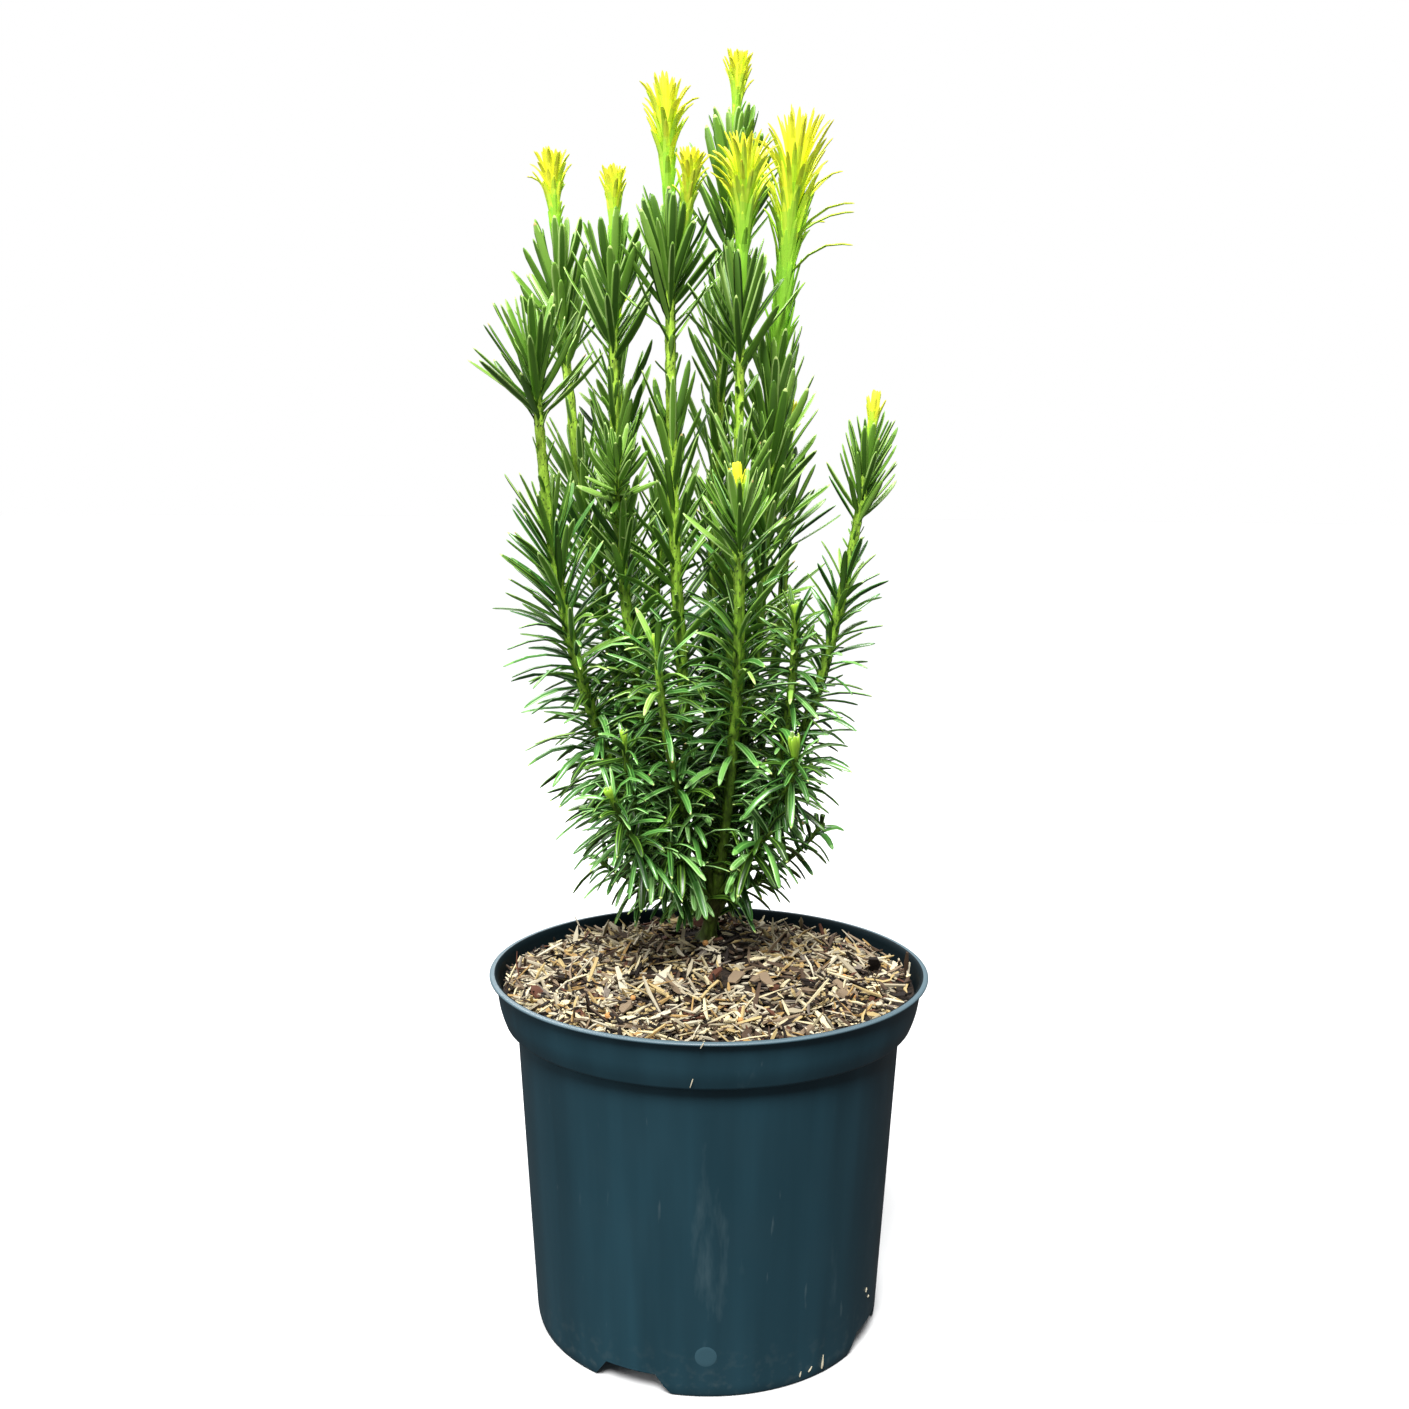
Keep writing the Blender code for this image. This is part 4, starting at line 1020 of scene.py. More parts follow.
def trunk_limb():
    """The main stem's axis and radii, from its level foot to the fork."""
    front = SHOOTS[0]
    points = [point for point in curve_points(STEM_FOOT, front.knee, front.tip)
              if point.z <= FORK_Z]
    radii = []
    for point in points:
        height = point.z - STEM_FOOT.z
        share = height / (FORK_Z - STEM_FOOT.z)
        flare = math.exp(-height / (0.45 * FLARE_HEIGHT)) * (FLARE_RADIUS - TRUNK_RADIUS)
        radii.append(TRUNK_RADIUS + (FORK_RADIUS - TRUNK_RADIUS) * share + flare)
    return Limb(points, radii)


def grow_limbs():
    """Every shoot's axis and radii, each rooted in its parent."""
    limbs = {"trunk": trunk_limb()}
    for shoot in [*SHOOTS, SIDE_TIP]:
        parent = limbs[shoot.parent]
        if shoot.leaves is None:
            points = curve_points(STEM_FOOT, shoot.knee, shoot.tip)
            points = [point for point in points if point.z > FORK_Z - 2 * PATH_STEP]
        else:
            start = parent.points[index_at_height(parent, shoot.leaves)]
            points = curve_points(start, shoot.knee, shoot.tip)
        limbs[shoot.name] = tapered(points, shoot.foot_r, shoot.tip_r)
    for growth in NEW_GROWTH:
        foot = limbs[growth.shoot].points[-1]
        top = foot.lerp(Vector(growth.top), growth.stem_share)
        limbs["new_" + growth.shoot] = tapered(curve_points(foot, foot.lerp(top, 0.5), top),
                                               *NEW_STEM_RADII)
    return limbs


def skin_radius(limb, place):
    swell = between(STEM_SWELL, smooth_step(*SWELLS_Z, limb.points[place].z))
    return limb.radii[place] * swell


def ribbed_tube(heap, limb, sides, ribs, depth, rough, collar):
    """A stem's skin with ribs that wind slowly round it and swell under each needle's foot, a
    collar where it leaves its parent, and a closed round end."""
    along = tangents(limb.points)
    side_way = along[0].orthogonal().normalized()
    points = []
    last = len(limb.points) - 1
    for place, (centre, way) in enumerate(zip(limb.points, along)):
        radius = skin_radius(limb, place)
        side_way = (side_way - way * side_way.dot(way)).normalized()
        other_way = way.cross(side_way)
        run = place * PATH_STEP
        swell = 1.0 + collar * math.exp(-run / 0.0045)
        close = 1.0 if place < last else 0.55
        for side in range(sides):
            angle = math.tau * side / sides
            spoke = side_way * math.cos(angle) + other_way * math.sin(angle)
            wound = ribs * angle + run * 60.0
            nearest_rib = round(wound / math.tau) % ribs
            risen = (run / CUSHION + 0.382 * nearest_rib) % 1.0
            rib = 1.0 + depth * math.cos(wound) * (0.4 + 1.3 * risen)
            bump = rough * noise.noise((centre + spoke * radius) * 700.0)
            points.append(centre + spoke * (radius * swell * rib * close + bump))
    faces = [tuple(reversed(range(sides)))]
    for ring in range(last):
        for side in range(sides):
            after = (side + 1) % sides
            faces.append((ring * sides + side, ring * sides + after,
                          (ring + 1) * sides + after, (ring + 1) * sides + side))
    faces.append(tuple(range(last * sides, (last + 1) * sides)))
    heap.add(points, faces, [0] * len(faces))


def make_stems(limbs):
    """The trunk and bare boughs as one piece, the leafy stems as another."""
    bark, green = Heap(), Heap()
    ribbed_tube(bark, limbs["trunk"], 28, 7, 0.05, 0.00040, 0.0)
    nodes = ["trunk"]
    for shoot in SHOOTS:
        limb = limbs[shoot.name]
        split = 0
        if shoot.leafy is not None:
            split = index_at_height(limb, shoot.leafy)
            low = Limb(limb.points[:split + 1], limb.radii[:split + 1])
            ribbed_tube(bark, low, 18, 5, 0.07, 0.00022, 0.45)
            nodes.append("bough_" + shoot.name)
        high = Limb(limb.points[split:], limb.radii[split:])
        ribbed_tube(green, high, 15, 5, 0.13, 0.00022, 0.25 if split == 0 else 0.0)
    for name in ["new_" + growth.shoot for growth in NEW_GROWTH] + [SIDE_TIP.name]:
        ribbed_tube(green, limbs[name], 10, 5, 0.08, 0.0, 0.0)
    skin = stem_finish()
    bark.piece("bark", [skin], "bark", nodes=nodes)
    green.piece("leafy_stems", [skin], "bark")


# Needles

RING_STOPS = np.array([0.0, 0.14, 0.38, 0.64, 0.86, 0.96, 1.0])
BLUNT_WIDTHS = np.array([0.42, 0.84, 1.0, 1.0, 0.87, 0.54, 0.18])
POINTED_WIDTHS = np.array([0.46, 0.86, 1.0, 0.97, 0.78, 0.44, 0.12])
NEW_WIDTHS = np.array([0.75, 1.0, 1.0, 0.93, 0.72, 0.42, 0.12])
RING_DEPTHS = np.array([1.3, 1.0, 1.0, 1.0, 0.9, 0.7, 0.3])
ACROSS = np.array([-1.0, -0.66, -0.13, 0.13, 0.66, 1.0, 0.62, 0.0, -0.62])
LIFT = np.array([0.0, 0.40, 0.85, 0.85, 0.40, 0.0, -0.34, -0.85, -0.34])
SECTION = len(ACROSS)
RINGS = len(RING_STOPS) + 1           # one more for the heel that runs down the stem
TIP_SPAN = RINGS - 2                  # the last span is the pale tip: partly the needle's own pale point, partly painted highlight
NEEDLE_FACES = [tuple(range(SECTION))]
NEEDLE_FACES += [(ring * SECTION + side, ring * SECTION + SECTION + side,
                  ring * SECTION + SECTION + (side + 1) % SECTION,
                  ring * SECTION + (side + 1) % SECTION)
                 for ring in range(RINGS - 1) for side in range(SECTION)]
NEEDLE_FACES.append(tuple(reversed(range((RINGS - 1) * SECTION, RINGS * SECTION))))
RIB_SIDE = 2
EDGE_SIDES = (0, 4, 5, 8)
UNDER_SIDES = (6, 7)

Blade = namedtuple("Blade", "length width lean end_lean sag level roll")


def needle_line(centre, radius, along, outward, blade):
    """The needle's middle line and its direction at each stop."""
    stops = RING_STOPS
    middle = 0.5 * (stops[1:] + stops[:-1])
    places = np.concatenate([[0.0], middle])
    leans = blade.lean + (blade.end_lean - blade.lean) * places * places
    bend = blade.sag * np.clip((places - 0.15) / 0.7, 0.0, 1.0) * 1.25
    ways = (np.outer(np.cos(leans), along) + np.outer(np.sin(leans), outward)
            - np.outer(bend, (0.0, 0.0, 1.0)))
    ways /= np.linalg.norm(ways, axis=1)[:, None]
    steps = np.diff(stops)[:, None] * blade.length * ways[1:]
    root = np.array(centre) + np.array(outward) * radius * 0.9
    line = np.vstack([root, root + np.cumsum(steps, axis=0)])
    return line, ways


def needle_points(centre, radius, along, outward, blade, widths):
    """All corners of a needle, from the heel on its stem to its blunt tip."""
    line, ways = needle_line(centre, radius, along, outward, blade)
    across = np.cross(np.array(along), np.array(outward))
    flat = np.cross(ways[3], (0.0, 0.0, 1.0))
    if np.dot(flat, across) < 0.0:
        flat = -flat
    across = across * (1.0 - blade.level) + flat * blade.level
    across /= np.linalg.norm(across)
    if np.cross(across, ways[3])[2] < 0.0:
        across = -across
    heel = line[0] - np.array(along) * HEEL - np.array(outward) * radius * 0.15
    line = np.vstack([heel, line])
    ways = np.vstack([np.array(along), ways])
    face = np.cross(across, ways[4])
    face /= np.linalg.norm(face)
    across = across * math.cos(blade.roll) + face * math.sin(blade.roll)
    faces = np.cross(across, ways)
    faces /= np.linalg.norm(faces, axis=1)[:, None]
    half = 0.5 * blade.width * np.concatenate([[0.30], widths])
    deep = NEEDLE_THICKNESS * np.concatenate([[0.6], RING_DEPTHS])
    deep = deep * min(1.0, blade.width / 0.0026)
    grid = (line[:, None, :] + half[:, None, None] * ACROSS[None, :, None] * across
            + (deep[:, None] * LIFT[None, :])[:, :, None] * faces[:, None, :])
    return grid.reshape(-1, 3)


def sight(point):
    """Where a point is seen from the front: how far to the side, how far up and how far away."""
    away = point[1] - CAMERA_PLACE[1]
    return (point[0] - CAMERA_PLACE[0]) / away, (point[2] - CAMERA_PLACE[2]) / away, away


class Crowd:
    """Where stems and needles already are."""

    def __init__(self, limbs):
        count = sum(len(limb.points) for limb in limbs.values())
        self.tree = KDTree(count)
        self.owners = []
        for name, limb in limbs.items():
            for point, radius in zip(limb.points, limb.radii):
                self.tree.insert(point, len(self.owners))
                self.owners.append((name, radius))
        self.tree.balance()
        self.cells = {}
        self.size = 0.0016
        self.open_stem = {}
        for point in [*limbs["trunk"].points, *limbs["front"].points]:
            if point.z < OPEN_STEM_Z:
                side, up, away = sight(point)
                self.open_stem[round(up / SIGHT_STEP)] = (side, away)

    def cell(self, point):
        return tuple(int(math.floor(value / self.size)) for value in point)

    def is_free(self, owner, line):
        for point in line[2:]:
            if abs(point[0]) > REACH or abs(point[1]) > REACH:
                return False
            for _, index, distance in self.tree.find_n(Vector(point), 2):
                name, radius = self.owners[index]
                if name != owner and distance < radius + STEM_CLEAR:
                    return False
        for point in line[3:]:
            x, y, z = self.cell(point)
            for dx in (-1, 0, 1):
                for dy in (-1, 0, 1):
                    for dz in (-1, 0, 1):
                        for other in self.cells.get((x + dx, y + dy, z + dz), ()):
                            if np.abs(other - point).sum() < NEEDLE_CLEAR:
                                return False
        return True

    def add(self, line):
        for point in line[3:]:
            self.cells.setdefault(self.cell(point), []).append(point)


def needle_rule(shoot, habit, below_tip, height, rng):
    """Length, lean from the stem, droop and spacing of the needle at one place on a shoot."""
    low = 1.0 - smooth_step(DROOP_FULL_Z, DROOP_STARTS_Z, height)
    rosette = shoot.rosette + RISES.get(shoot.name, 0.0)
    past = below_tip - rosette - shoot.thin
    if below_tip < rosette:
        share = below_tip / rosette
        length = NEEDLE * between((TOP_NEEDLE_SHARE, 1.0), min(1.0, share / TOP_NEEDLE_REACH))
        lean = between(ROSETTE_LEAN, share) + habit.spread * share
        step = between((ROSETTE_STEP, STEM_STEP), low * DROOP_SPACING)
    elif past < 0.0:
        length = rng.uniform(*SCALE_NEEDLE)
        lean = rng.uniform(*SCALE_LEAN)
        step = BARE_JOINT_STEP if shoot.name in BARE_STRETCHES else JOINT_STEP
    else:
        share = (past % YEAR_GROWTH) / YEAR_GROWTH
        length = NEEDLE * between((YEAR_NEEDLE_SHARE, 1.0), low)
        lean = between(YEAR_LEAN, share)
        step = STEM_STEP
        if share > YEAR_JOINT_FROM and rng.random() > low:
            length = rng.uniform(*SCALE_NEEDLE)
            step = JOINT_STEP
    lean += DROOP_LEAN * low
    return length * habit.length, lean, DROOP_SAG * low, step * habit.step, low


def needle_frame(along, turn):
    """Unit vectors out of the stem, for a turn about the stem."""
    reference = Vector((0.0, 1.0, 0.0)).cross(along).normalized()
    return Matrix.Rotation(turn, 3, along) @ reference


# Material slots of the needle pieces
(DEEP, DARK, GREEN, MID, LIGHT, LOW_DARK, EMERALD, BRIGHT, PAINTED_SHEEN, YOUNG, UNDER, PALE, BROWN,
 STRAW) = range(14)
HIGH_TONES = {DEEP: 0.14, DARK: 0.32, GREEN: 0.34, MID: 0.20}
# Low down the darkest greens are dealt out more, most of all to the needles' undersides: painted
# shade for the dark hollows among the lower needles.
LOW_TONES = {DEEP: 0.24, LOW_DARK: 0.30, EMERALD: 0.26, BRIGHT: 0.20}
HIGH_UNDERSIDES = {DARK: 0.34, UNDER: 0.20, GREEN: 0.30, MID: 0.16}
LOW_UNDERSIDES = {DEEP: 0.42, LOW_DARK: 0.33, UNDER: 0.15, EMERALD: 0.10}
LIGHTER = {DEEP: DARK, DARK: GREEN, GREEN: MID, MID: LIGHT, LIGHT: LIGHT, LOW_DARK: EMERALD,
           EMERALD: BRIGHT, BRIGHT: PAINTED_SHEEN, PAINTED_SHEEN: PAINTED_SHEEN, BROWN: STRAW, YOUNG: PALE}
DARKER = {DEEP: DEEP, DARK: DEEP, GREEN: DARK, MID: GREEN, LOW_DARK: DEEP, EMERALD: LOW_DARK,
          BRIGHT: EMERALD, BROWN: BROWN, YOUNG: YOUNG, LIGHT: MID}
BROWN_SHARE = 0.002
EDGE_SHARES = (0.10, 0.40, 0.50)      # needles whose edges are as their blade, or painted lighter or lightest as a highlight
FOOT_SPANS = 3                        # spans of a needle, from its foot, that may get a darker tone as painted shade
END_SPAN = 5                          # the last one before the tip, which may get a lighter tone as painted light

Tints = namedtuple("Tints", "foot blade end edge_steps rib under tip")


def needle_tints(rng, low):
    """Which of the greens the parts of one needle get."""
    if rng.random() < BROWN_SHARE * low:
        return Tints(BROWN, BROWN, STRAW, 0, STRAW, BROWN, STRAW)
    tones, undersides = ((LOW_TONES, LOW_UNDERSIDES) if rng.random() < low
                         else (HIGH_TONES, HIGH_UNDERSIDES))
    blade = rng.choices(list(tones), tones.values())[0]
    under = rng.choices(list(undersides), undersides.values())[0]
    # Painted shade and light: three in four needles are darker at their foot, in by the stem, and
    # half are lighter towards their end.
    foot = DARKER[blade] if rng.random() < 0.75 else blade
    end = LIGHTER[blade] if rng.random() < 0.50 else blade
    rib = LIGHTER[LIGHTER[blade]] if blade in (DEEP, DARK, LOW_DARK) else LIGHTER[blade]
    # Pale tips: partly the needles' own pale points, partly painted highlight.
    tip = rng.choices((PALE, LIGHTER[blade], STRAW), (0.30, 0.67, 0.03))[0]
    # Painted highlight: the edges of most needles are one or two steps lighter than the blade.
    edge_steps = rng.choices((0, 1, 2), EDGE_SHARES)[0]
    return Tints(foot, blade, end, edge_steps, rib if rng.random() < 0.65 else blade, under, tip)


def lighter(tone, steps):
    for _ in range(steps):
        tone = LIGHTER[tone]
    return tone


def needle_slots(tints):
    slots = [tints.foot]
    for ring in range(RINGS - 1):
        main = tints.foot if ring < FOOT_SPANS else tints.end if ring >= END_SPAN else tints.blade
        edge = lighter(main, tints.edge_steps)
        for side in range(SECTION):
            if ring >= TIP_SPAN:
                slots.append(tints.tip)
            elif side == RIB_SIDE:
                slots.append(tints.rib)
            elif side in UNDER_SIDES:
                slots.append(tints.under)
            elif side in EDGE_SIDES:
                slots.append(edge)
            else:
                slots.append(main)
    slots.append(tints.tip)
    return slots


def hides_low_stem(stem, line):
    """Whether a needle crosses before the main stem's lowest part, seen from the front."""
    for start, end in zip(line[1:], line[2:]):
        for share in (0.33, 0.67, 1.0):
            side, up, away = sight(start + (end - start) * share)
            seen = stem.get(round(up / SIGHT_STEP))
            if seen is None or away > seen[1] - OPEN_STEM_BEFORE:
                continue
            if abs(side - seen[0]) * away < OPEN_STEM_HALF:
                return True
    return False


def place_needle(crowd, owner, centre, radius, along, turn, blade, rng):
    """Try a needle and a few turned a little further; give its way out of the stem."""
    may_hang = rng.random() < HANGING_SHARE
    may_cross = rng.random() < CROSSING_SHARE
    for extra in TURN_TRIES:
        outward = needle_frame(along, turn + extra)
        line, _ = needle_line(centre, radius, along, outward, blade)
        if line[-1][2] < LOWEST_END_Z and not may_hang:
            continue
        if hides_low_stem(crowd.open_stem, line) and not may_cross:
            continue
        if crowd.is_free(owner, line):
            crowd.add(line)
            return outward
    return None


def rosette_limb(limbs, name):
    """A shoot's stem, with the foot of the new stem on which its topmost needles stand."""
    limb = limbs[name]
    more = round(RISES.get(name, 0.0) / PATH_STEP)
    if more == 0:
        return limb
    new = limbs["new_" + name]
    return Limb(limb.points + new.points[1:more + 1], limb.radii + new.radii[1:more + 1])


def shoot_needles(heap, crowd, shoot, limb, split, rng):
    """Needles round a shoot in a spiral, from its tip down to where its foliage begins."""
    last = len(limb.points) - 1
    along = tangents(limb.points)
    habit = HABITS.get(shoot.name, USUAL_HABIT)
    turn = rng.uniform(0.0, math.tau)
    below_tip = TOP_GAP
    while below_tip < (last - split - 1) * PATH_STEP:
        place = last - round(below_tip / PATH_STEP)
        point = limb.points[place]
        length, lean, sag, step, low = needle_rule(shoot, habit, below_tip, point.z, rng)
        length *= between((rng.uniform(*LENGTH_SPREAD[0]), rng.uniform(*LENGTH_SPREAD[1])), low)
        lean += between((rng.uniform(*LEAN_SPREAD[0]), rng.uniform(*LEAN_SPREAD[1])), low)
        curl = rng.uniform(*CURL_SPREAD) * (1.0 - low)
        in_rosette = below_tip < shoot.rosette
        high_width = NEEDLE_WIDTH[0] if in_rosette else NEEDLE_WIDTH[1]
        width = between((high_width, NEEDLE_WIDTH[2]), low) * rng.uniform(*WIDTH_SPREAD)
        width *= habit.width * min(1.0, 0.40 + length / 0.034)
        roll = math.radians(rng.choice((-1, 1)) * rng.uniform(*TWIST))
        blade = Blade(length, width, math.radians(lean - 0.4 * curl),
                      math.radians(lean + 0.6 * curl), sag * rng.uniform(*DROOP_SPREAD), low, roll)
        radius = skin_radius(limb, place)
        outward = place_needle(crowd, shoot.name, point, radius, along[place], turn, blade, rng)
        if outward is not None:
            widths = BLUNT_WIDTHS if in_rosette and habit.width > 0.9 else POINTED_WIDTHS
            points = needle_points(point, radius, along[place], outward, blade, widths)
            heap.add(points.tolist(), NEEDLE_FACES, needle_slots(needle_tints(rng, low)))
        turn += GOLDEN_ANGLE + rng.uniform(-TURN_SPREAD, TURN_SPREAD)
        below_tip += step * rng.uniform(*STEP_SPREAD)
    if shoot.name in BUDS:
        grow_bud(heap, limb, along[-1], BUDS[shoot.name], rng)


def grow_bud(heap, limb, along, size, rng):
    """A closed bud of tiny pale needles at the end of a short shoot."""
    for number in range(BUD_NEEDLES):
        lean = math.radians(rng.uniform(8.0, 16.0))
        blade = Blade(size * rng.uniform(0.7, 1.0), BUD_WIDTH * min(1.3, 0.6 + size / 0.010),
                      lean, -lean, 0.0, 0.0, 0.0)
        outward = needle_frame(along, math.tau * number * 0.382)
        points = needle_points(limb.points[-1], limb.radii[-1], along, outward, blade, NEW_WIDTHS)
        tone = YOUNG if number % 3 else LIGHT
        tints = Tints(tone, tone, tone, 0, YOUNG, tone, PALE)
        heap.add(points.tolist(), NEEDLE_FACES, needle_slots(tints))


# Material slots of the new growth: six steps from lime to yellow, and two for the tips
(NEW_LIME, NEW_LEAF, NEW_BRIGHT, NEW_FRESH, NEW_LEMON, NEW_YELLOW, NEW_GOLD,
 NEW_AMBER) = range(8)
NEW_RIPENS = (0.30, 0.98)             # shares of the growth's height between lime and yellow
NEW_UNEVEN = 0.07
NEW_TIP_SHARES = (0.75, 0.22, 0.03)   # ends as yellow as the needle, golden or amber


def new_slots(rng, foot, end):
    """A new needle's tones for the heights of its foot and end, shares of the whole growth."""
    uneven = rng.gauss(0.0, NEW_UNEVEN)
    tints = [round(NEW_YELLOW * smooth_step(*NEW_RIPENS, between((foot, end), ring / TIP_SPAN)
                                            + uneven))
             for ring in range(RINGS - 1)]
    if tints[-1] == NEW_YELLOW:
        tints[-1] = rng.choices((NEW_YELLOW, NEW_GOLD, NEW_AMBER), NEW_TIP_SHARES)[0]
    slots = [tints[0]]
    for tint in tints:
        slots.extend([tint] * SECTION)
    slots.append(tints[-1])
    return slots


def new_blade(growth, share, outward, rng):
    """New needles hug their stem low down, and flare out more and more towards the top."""
    opened = smooth_step(growth.opens, 1.0, share)
    length = NEW_NEEDLE * growth.size * between(NEW_LENGTHS, share)
    lean = between(NEW_HUG, opened) + rng.uniform(-2.0, 3.0)
    if growth.shoot in LEAFY_NEW_STEMS:
        lean += LEAFY_LEAN * rng.random()
    flare = growth.flare * opened * rng.uniform(*NEW_FLARE_SPREAD) + rng.uniform(-2.0, 5.0)
    if rng.random() < NEW_WHISKERS[0]:
        flare += NEW_WHISKERS[1] * growth.flare
    width = NEW_WIDTH * min(1.0, 0.60 + 0.40 * growth.size) * rng.uniform(0.90, 1.12)
    limp = 0.0
    if (growth.shoot in LEAFY_NEW_STEMS and outward.x > 0.5
            and LIMP_FROM < share < LIMP_TO and rng.random() < LIMP_SHARE):
        limp = LIMP_SAG * rng.uniform(0.3, 1.0)
        lean += LIMP_LEAN
        length *= LIMP_LENGTH
    roll = math.radians(rng.uniform(-NEW_TWIST, NEW_TWIST))
    return Blade(length * rng.uniform(*NEW_LENGTH_SPREAD), width, math.radians(lean),
                 math.radians(lean + flare), limp, 0.0, roll)


def new_needle(heap, limb, place, way, outward, blade, slots):
    points = needle_points(limb.points[place], limb.radii[place] + NEW_SEAT, way, outward, blade,
                           NEW_WIDTHS)
    heap.add(points.tolist(), NEEDLE_FACES, slots)


def new_needles(heap, growth, limb, rng):
    """New needles from where the stem leaves the old rosette up to its end, then a crown."""
    last = len(limb.points) - 1
    along = tangents(limb.points)
    turn = rng.uniform(0.0, math.tau)
    whole = last * PATH_STEP + NEW_NEEDLE * growth.size
    stem_share = last * PATH_STEP / whole
    share = 0.0 if growth.shoot in LEAFY_NEW_STEMS else NEW_STARTS
    while share < 1.0:
        place = min(last - 1, round(share * last))
        outward = needle_frame(along[place], turn)
        blade = new_blade(growth, share, outward, rng)
        foot = share * stem_share
        slots = new_slots(rng, foot, foot + blade.length / whole)
        new_needle(heap, limb, place, along[place], outward, blade, slots)
        turn += GOLDEN_ANGLE + rng.uniform(-TURN_SPREAD, TURN_SPREAD)
        share += NEW_STEP / (last * PATH_STEP)
    for number in range(NEW_CROWN):
        outer = number / (NEW_CROWN - 1)
        length = NEW_NEEDLE * growth.size * rng.uniform(*NEW_CROWN_LENGTH)
        lean = between(NEW_CROWN_LEAN, outer) * min(1.0, growth.flare / FULL_FLARE)
        flare = growth.flare * outer * rng.uniform(0.70, 1.15)
        blade = Blade(length, NEW_WIDTH, math.radians(lean), math.radians(lean + flare), 0.0,
                      0.0, 0.0)
        outward = needle_frame(along[-1], turn + number * GOLDEN_ANGLE)
        slots = new_slots(rng, stem_share, 1.0)
        new_needle(heap, limb, last, along[-1], outward, blade, slots)


def needle_finishes():
    return [
        plain("needle_deep", (0.017, 0.049, 0.004), 0.34, 0.45),
        plain("needle_dark", (0.054, 0.139, 0.012), 0.34, 0.45),
        plain("needle_green", (0.123, 0.275, 0.027), 0.34, 0.45),
        plain("needle_mid", (0.216, 0.408, 0.060), 0.34, 0.45),
        plain("needle_light", (0.400, 0.600, 0.170), 0.36, 0.45),
        plain("needle_low_dark", (0.019, 0.070, 0.010), 0.28, 0.50),
        plain("needle_emerald", (0.055, 0.185, 0.030), 0.28, 0.55),
        plain("needle_bright", (0.142, 0.350, 0.070), 0.28, 0.55),
        # Painted sheen: a pale bluish green that stands for gloss on the low needles.
        plain("needle_gloss", (0.310, 0.570, 0.190), 0.30, 0.55),
        plain("needle_young", (0.380, 0.640, 0.050), 0.45, 0.30),
        plain("needle_under", (0.100, 0.225, 0.030), 0.45, 0.30),
        plain("needle_pale_tip", (0.440, 0.580, 0.180), 0.50, 0.30),
        plain("needle_brown", (0.120, 0.080, 0.035), 0.65, 0.20),
        plain("needle_straw", (0.420, 0.330, 0.120), 0.65, 0.20),
    ]


def new_growth_finishes():
    return [
        plain("new_lime", (0.270, 0.580, 0.045), 0.50, 0.20),
        plain("new_leaf", (0.350, 0.660, 0.050), 0.50, 0.20),
        plain("new_bright", (0.440, 0.720, 0.055), 0.50, 0.20),
        plain("new_fresh", (0.610, 0.830, 0.060), 0.50, 0.20),
        plain("new_lemon", (0.770, 0.880, 0.060), 0.50, 0.20),
        plain("new_yellow", (0.940, 0.930, 0.060), 0.50, 0.20),
        plain("new_gold", (0.900, 0.780, 0.050), 0.50, 0.20),
        plain("new_amber", (0.600, 0.420, 0.060), 0.60, 0.20),
    ]


def make_foliage(limbs):
    crowd = Crowd(limbs)
    finishes = needle_finishes()
    shoots = {shoot.name: (number, shoot) for number, shoot in enumerate(SHOOTS)}
    for piece_name, members in GROUPS.items():
        heap = Heap()
        for member in members:
            number, shoot = shoots[member]
            limb = rosette_limb(limbs, member)
            split = 0 if shoot.leafy is None else index_at_height(limb, shoot.leafy)
            shoot_needles(heap, crowd, shoot, limb, split, random.Random(SEED * 100 + number))
        heap.piece(piece_name, finishes, "needles", nodes=["shoot_" + name for name in members])
    heap = Heap()
    side = Growth(SIDE_TIP.name, SIDE_TIP.tip, 1.0, SIDE_TIP_FLARE, SIDE_TIP_SIZE,
                  SIDE_TIP_OPENS)
    for number, growth in enumerate([*NEW_GROWTH, side]):
        own = limbs.get("new_" + growth.shoot) or limbs[growth.shoot]
        new_needles(heap, growth, own, random.Random(SEED * 1000 + number))
    nodes = ["tip_" + growth.shoot for growth in [*NEW_GROWTH, side]]
    heap.piece("new_growth", new_growth_finishes(), "new_needles", smooth=False, nodes=nodes)


# Floor, light and camera

def make_floor():
    """A pale floor that takes the light, and sends none of it back up to the part."""
    shape = bmesh.new()
    bmesh.ops.create_circle(shape, cap_ends=True, radius=FLOOR_RADIUS, segments=96)
    floor = object_from("floor", shape)
    floor.data.materials.append(plain("floor_pale", FLOOR_COLOUR, 0.9, 0.1))
    floor.visible_glossy = False
    floor.visible_diffuse = False


def aim_lamp(name, lamp, place, aim):
    made = bpy.data.objects.new(name, lamp)
    made.location = place
    made.rotation_euler = (Vector(aim) - Vector(place)).to_track_quat("-Z", "Y").to_euler()
    made.visible_camera = False
    bpy.context.scene.collection.objects.link(made)


def soft_light(name, place, size, power):
    """A large rectangular lamp that points at the plant."""
    lamp = bpy.data.lights.new(name, "AREA")
    lamp.shape = "RECTANGLE"
    lamp.size, lamp.size_y = size
    lamp.energy = power
    aim_lamp(name, lamp, place, PLANT_MIDDLE)


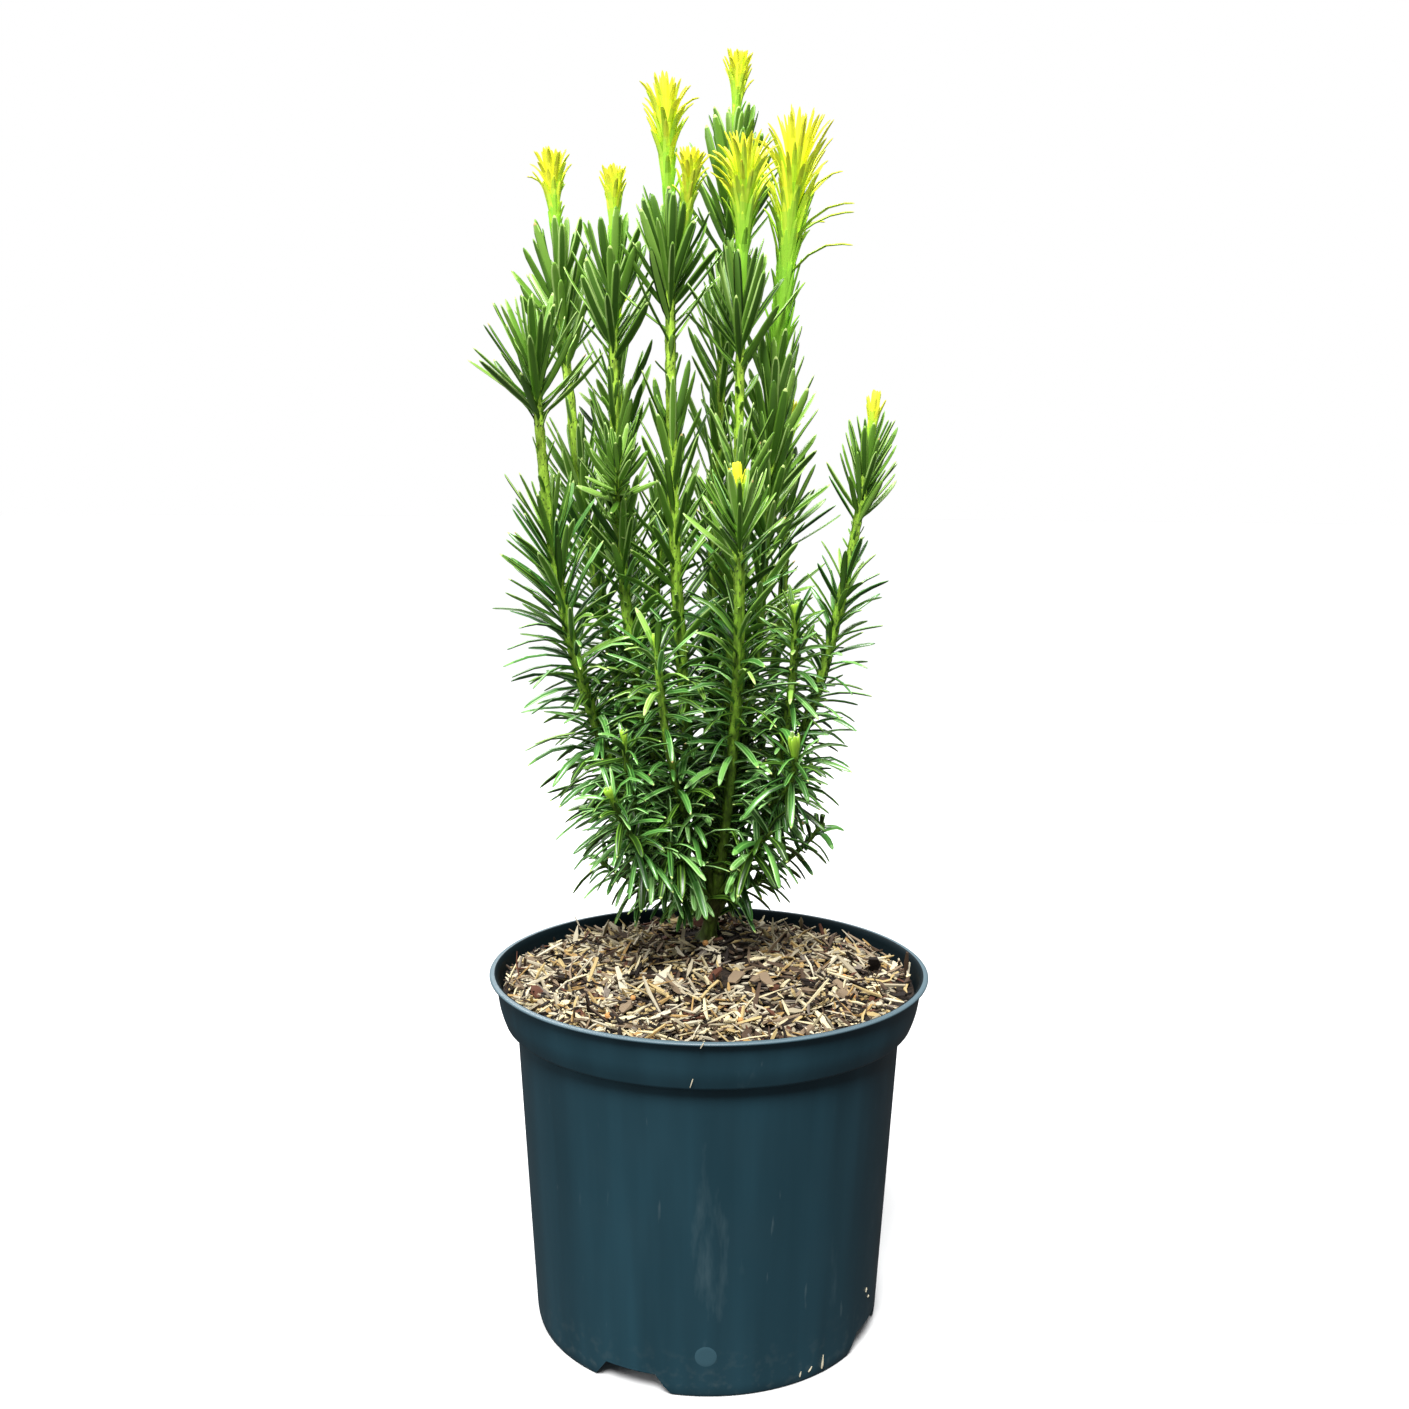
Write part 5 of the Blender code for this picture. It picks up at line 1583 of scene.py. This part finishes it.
def make_world():
    """White to the camera, a dimmer even sky as light, and a dark room in glossy surfaces."""
    world = bpy.data.worlds.new("studio")
    world.use_nodes = True
    tree = world.node_tree
    tree.nodes.remove(tree.nodes["Background"])
    path = tree.nodes.new("ShaderNodeLightPath")
    shown = background(tree, SKY_COLOUR, SKY_STRENGTH)
    for kind, colour, strength in (("Is Glossy Ray", SKY_COLOUR, ROOM_STRENGTH),
                                   ("Is Camera Ray", WHITE, 1.0)):
        choice = tree.nodes.new("ShaderNodeMixShader")
        tree.links.new(path.outputs[kind], choice.inputs["Fac"])
        tree.links.new(shown, choice.inputs[1])
        tree.links.new(background(tree, colour, strength), choice.inputs[2])
        shown = choice.outputs["Shader"]
    tree.links.new(shown, tree.nodes["World Output"].inputs["Surface"])
    bpy.context.scene.world = world


def background(tree, colour, strength):
    made = tree.nodes.new("ShaderNodeBackground")
    made.inputs["Color"].default_value = colour
    made.inputs["Strength"].default_value = strength
    return made.outputs["Background"]


def make_lights():
    """A broad soft sun from the upper left, and lamps that model the plant and the pot."""
    sun = bpy.data.lights.new("broad_sun", "SUN")
    sun.energy = SUN_STRENGTH
    sun.angle = SUN_ANGLE
    aim_lamp("broad_sun", sun, SUN_FROM, (0.0, 0.0, 0.0))
    soft_light("left_light", (-1.25, -0.60, 0.70), (0.9, 1.1), 12.0)
    soft_light("top_light", (0.10, -0.30, 1.60), (1.2, 0.9), 12.0)
    soft_light("back_light", (-0.40, 1.05, 1.30), (0.9, 0.9), 26.0)


def make_camera():
    data = bpy.data.cameras.new("camera")
    data.sensor_width = FILM_WIDTH
    data.lens = LENS
    data.clip_start = 0.01
    camera = bpy.data.objects.new("camera", data)
    camera.matrix_world = (Matrix.Translation(CAMERA_PLACE)
                           @ Matrix.Rotation(-CAMERA_YAW, 4, "Z")
                           @ Matrix.Rotation(math.pi / 2 - CAMERA_PITCH, 4, "X")
                           @ Matrix.Rotation(CAMERA_ROLL, 4, "Z"))
    bpy.context.scene.collection.objects.link(camera)
    bpy.context.scene.camera = camera
    bpy.context.scene.view_settings.view_transform = "Standard"


make_camera()
make_world()
make_lights()
make_floor()
make_pot()
make_mulch(make_soil())
limbs = grow_limbs()
make_stems(limbs)
make_foliage(limbs)

bpy.context.view_layer.update()
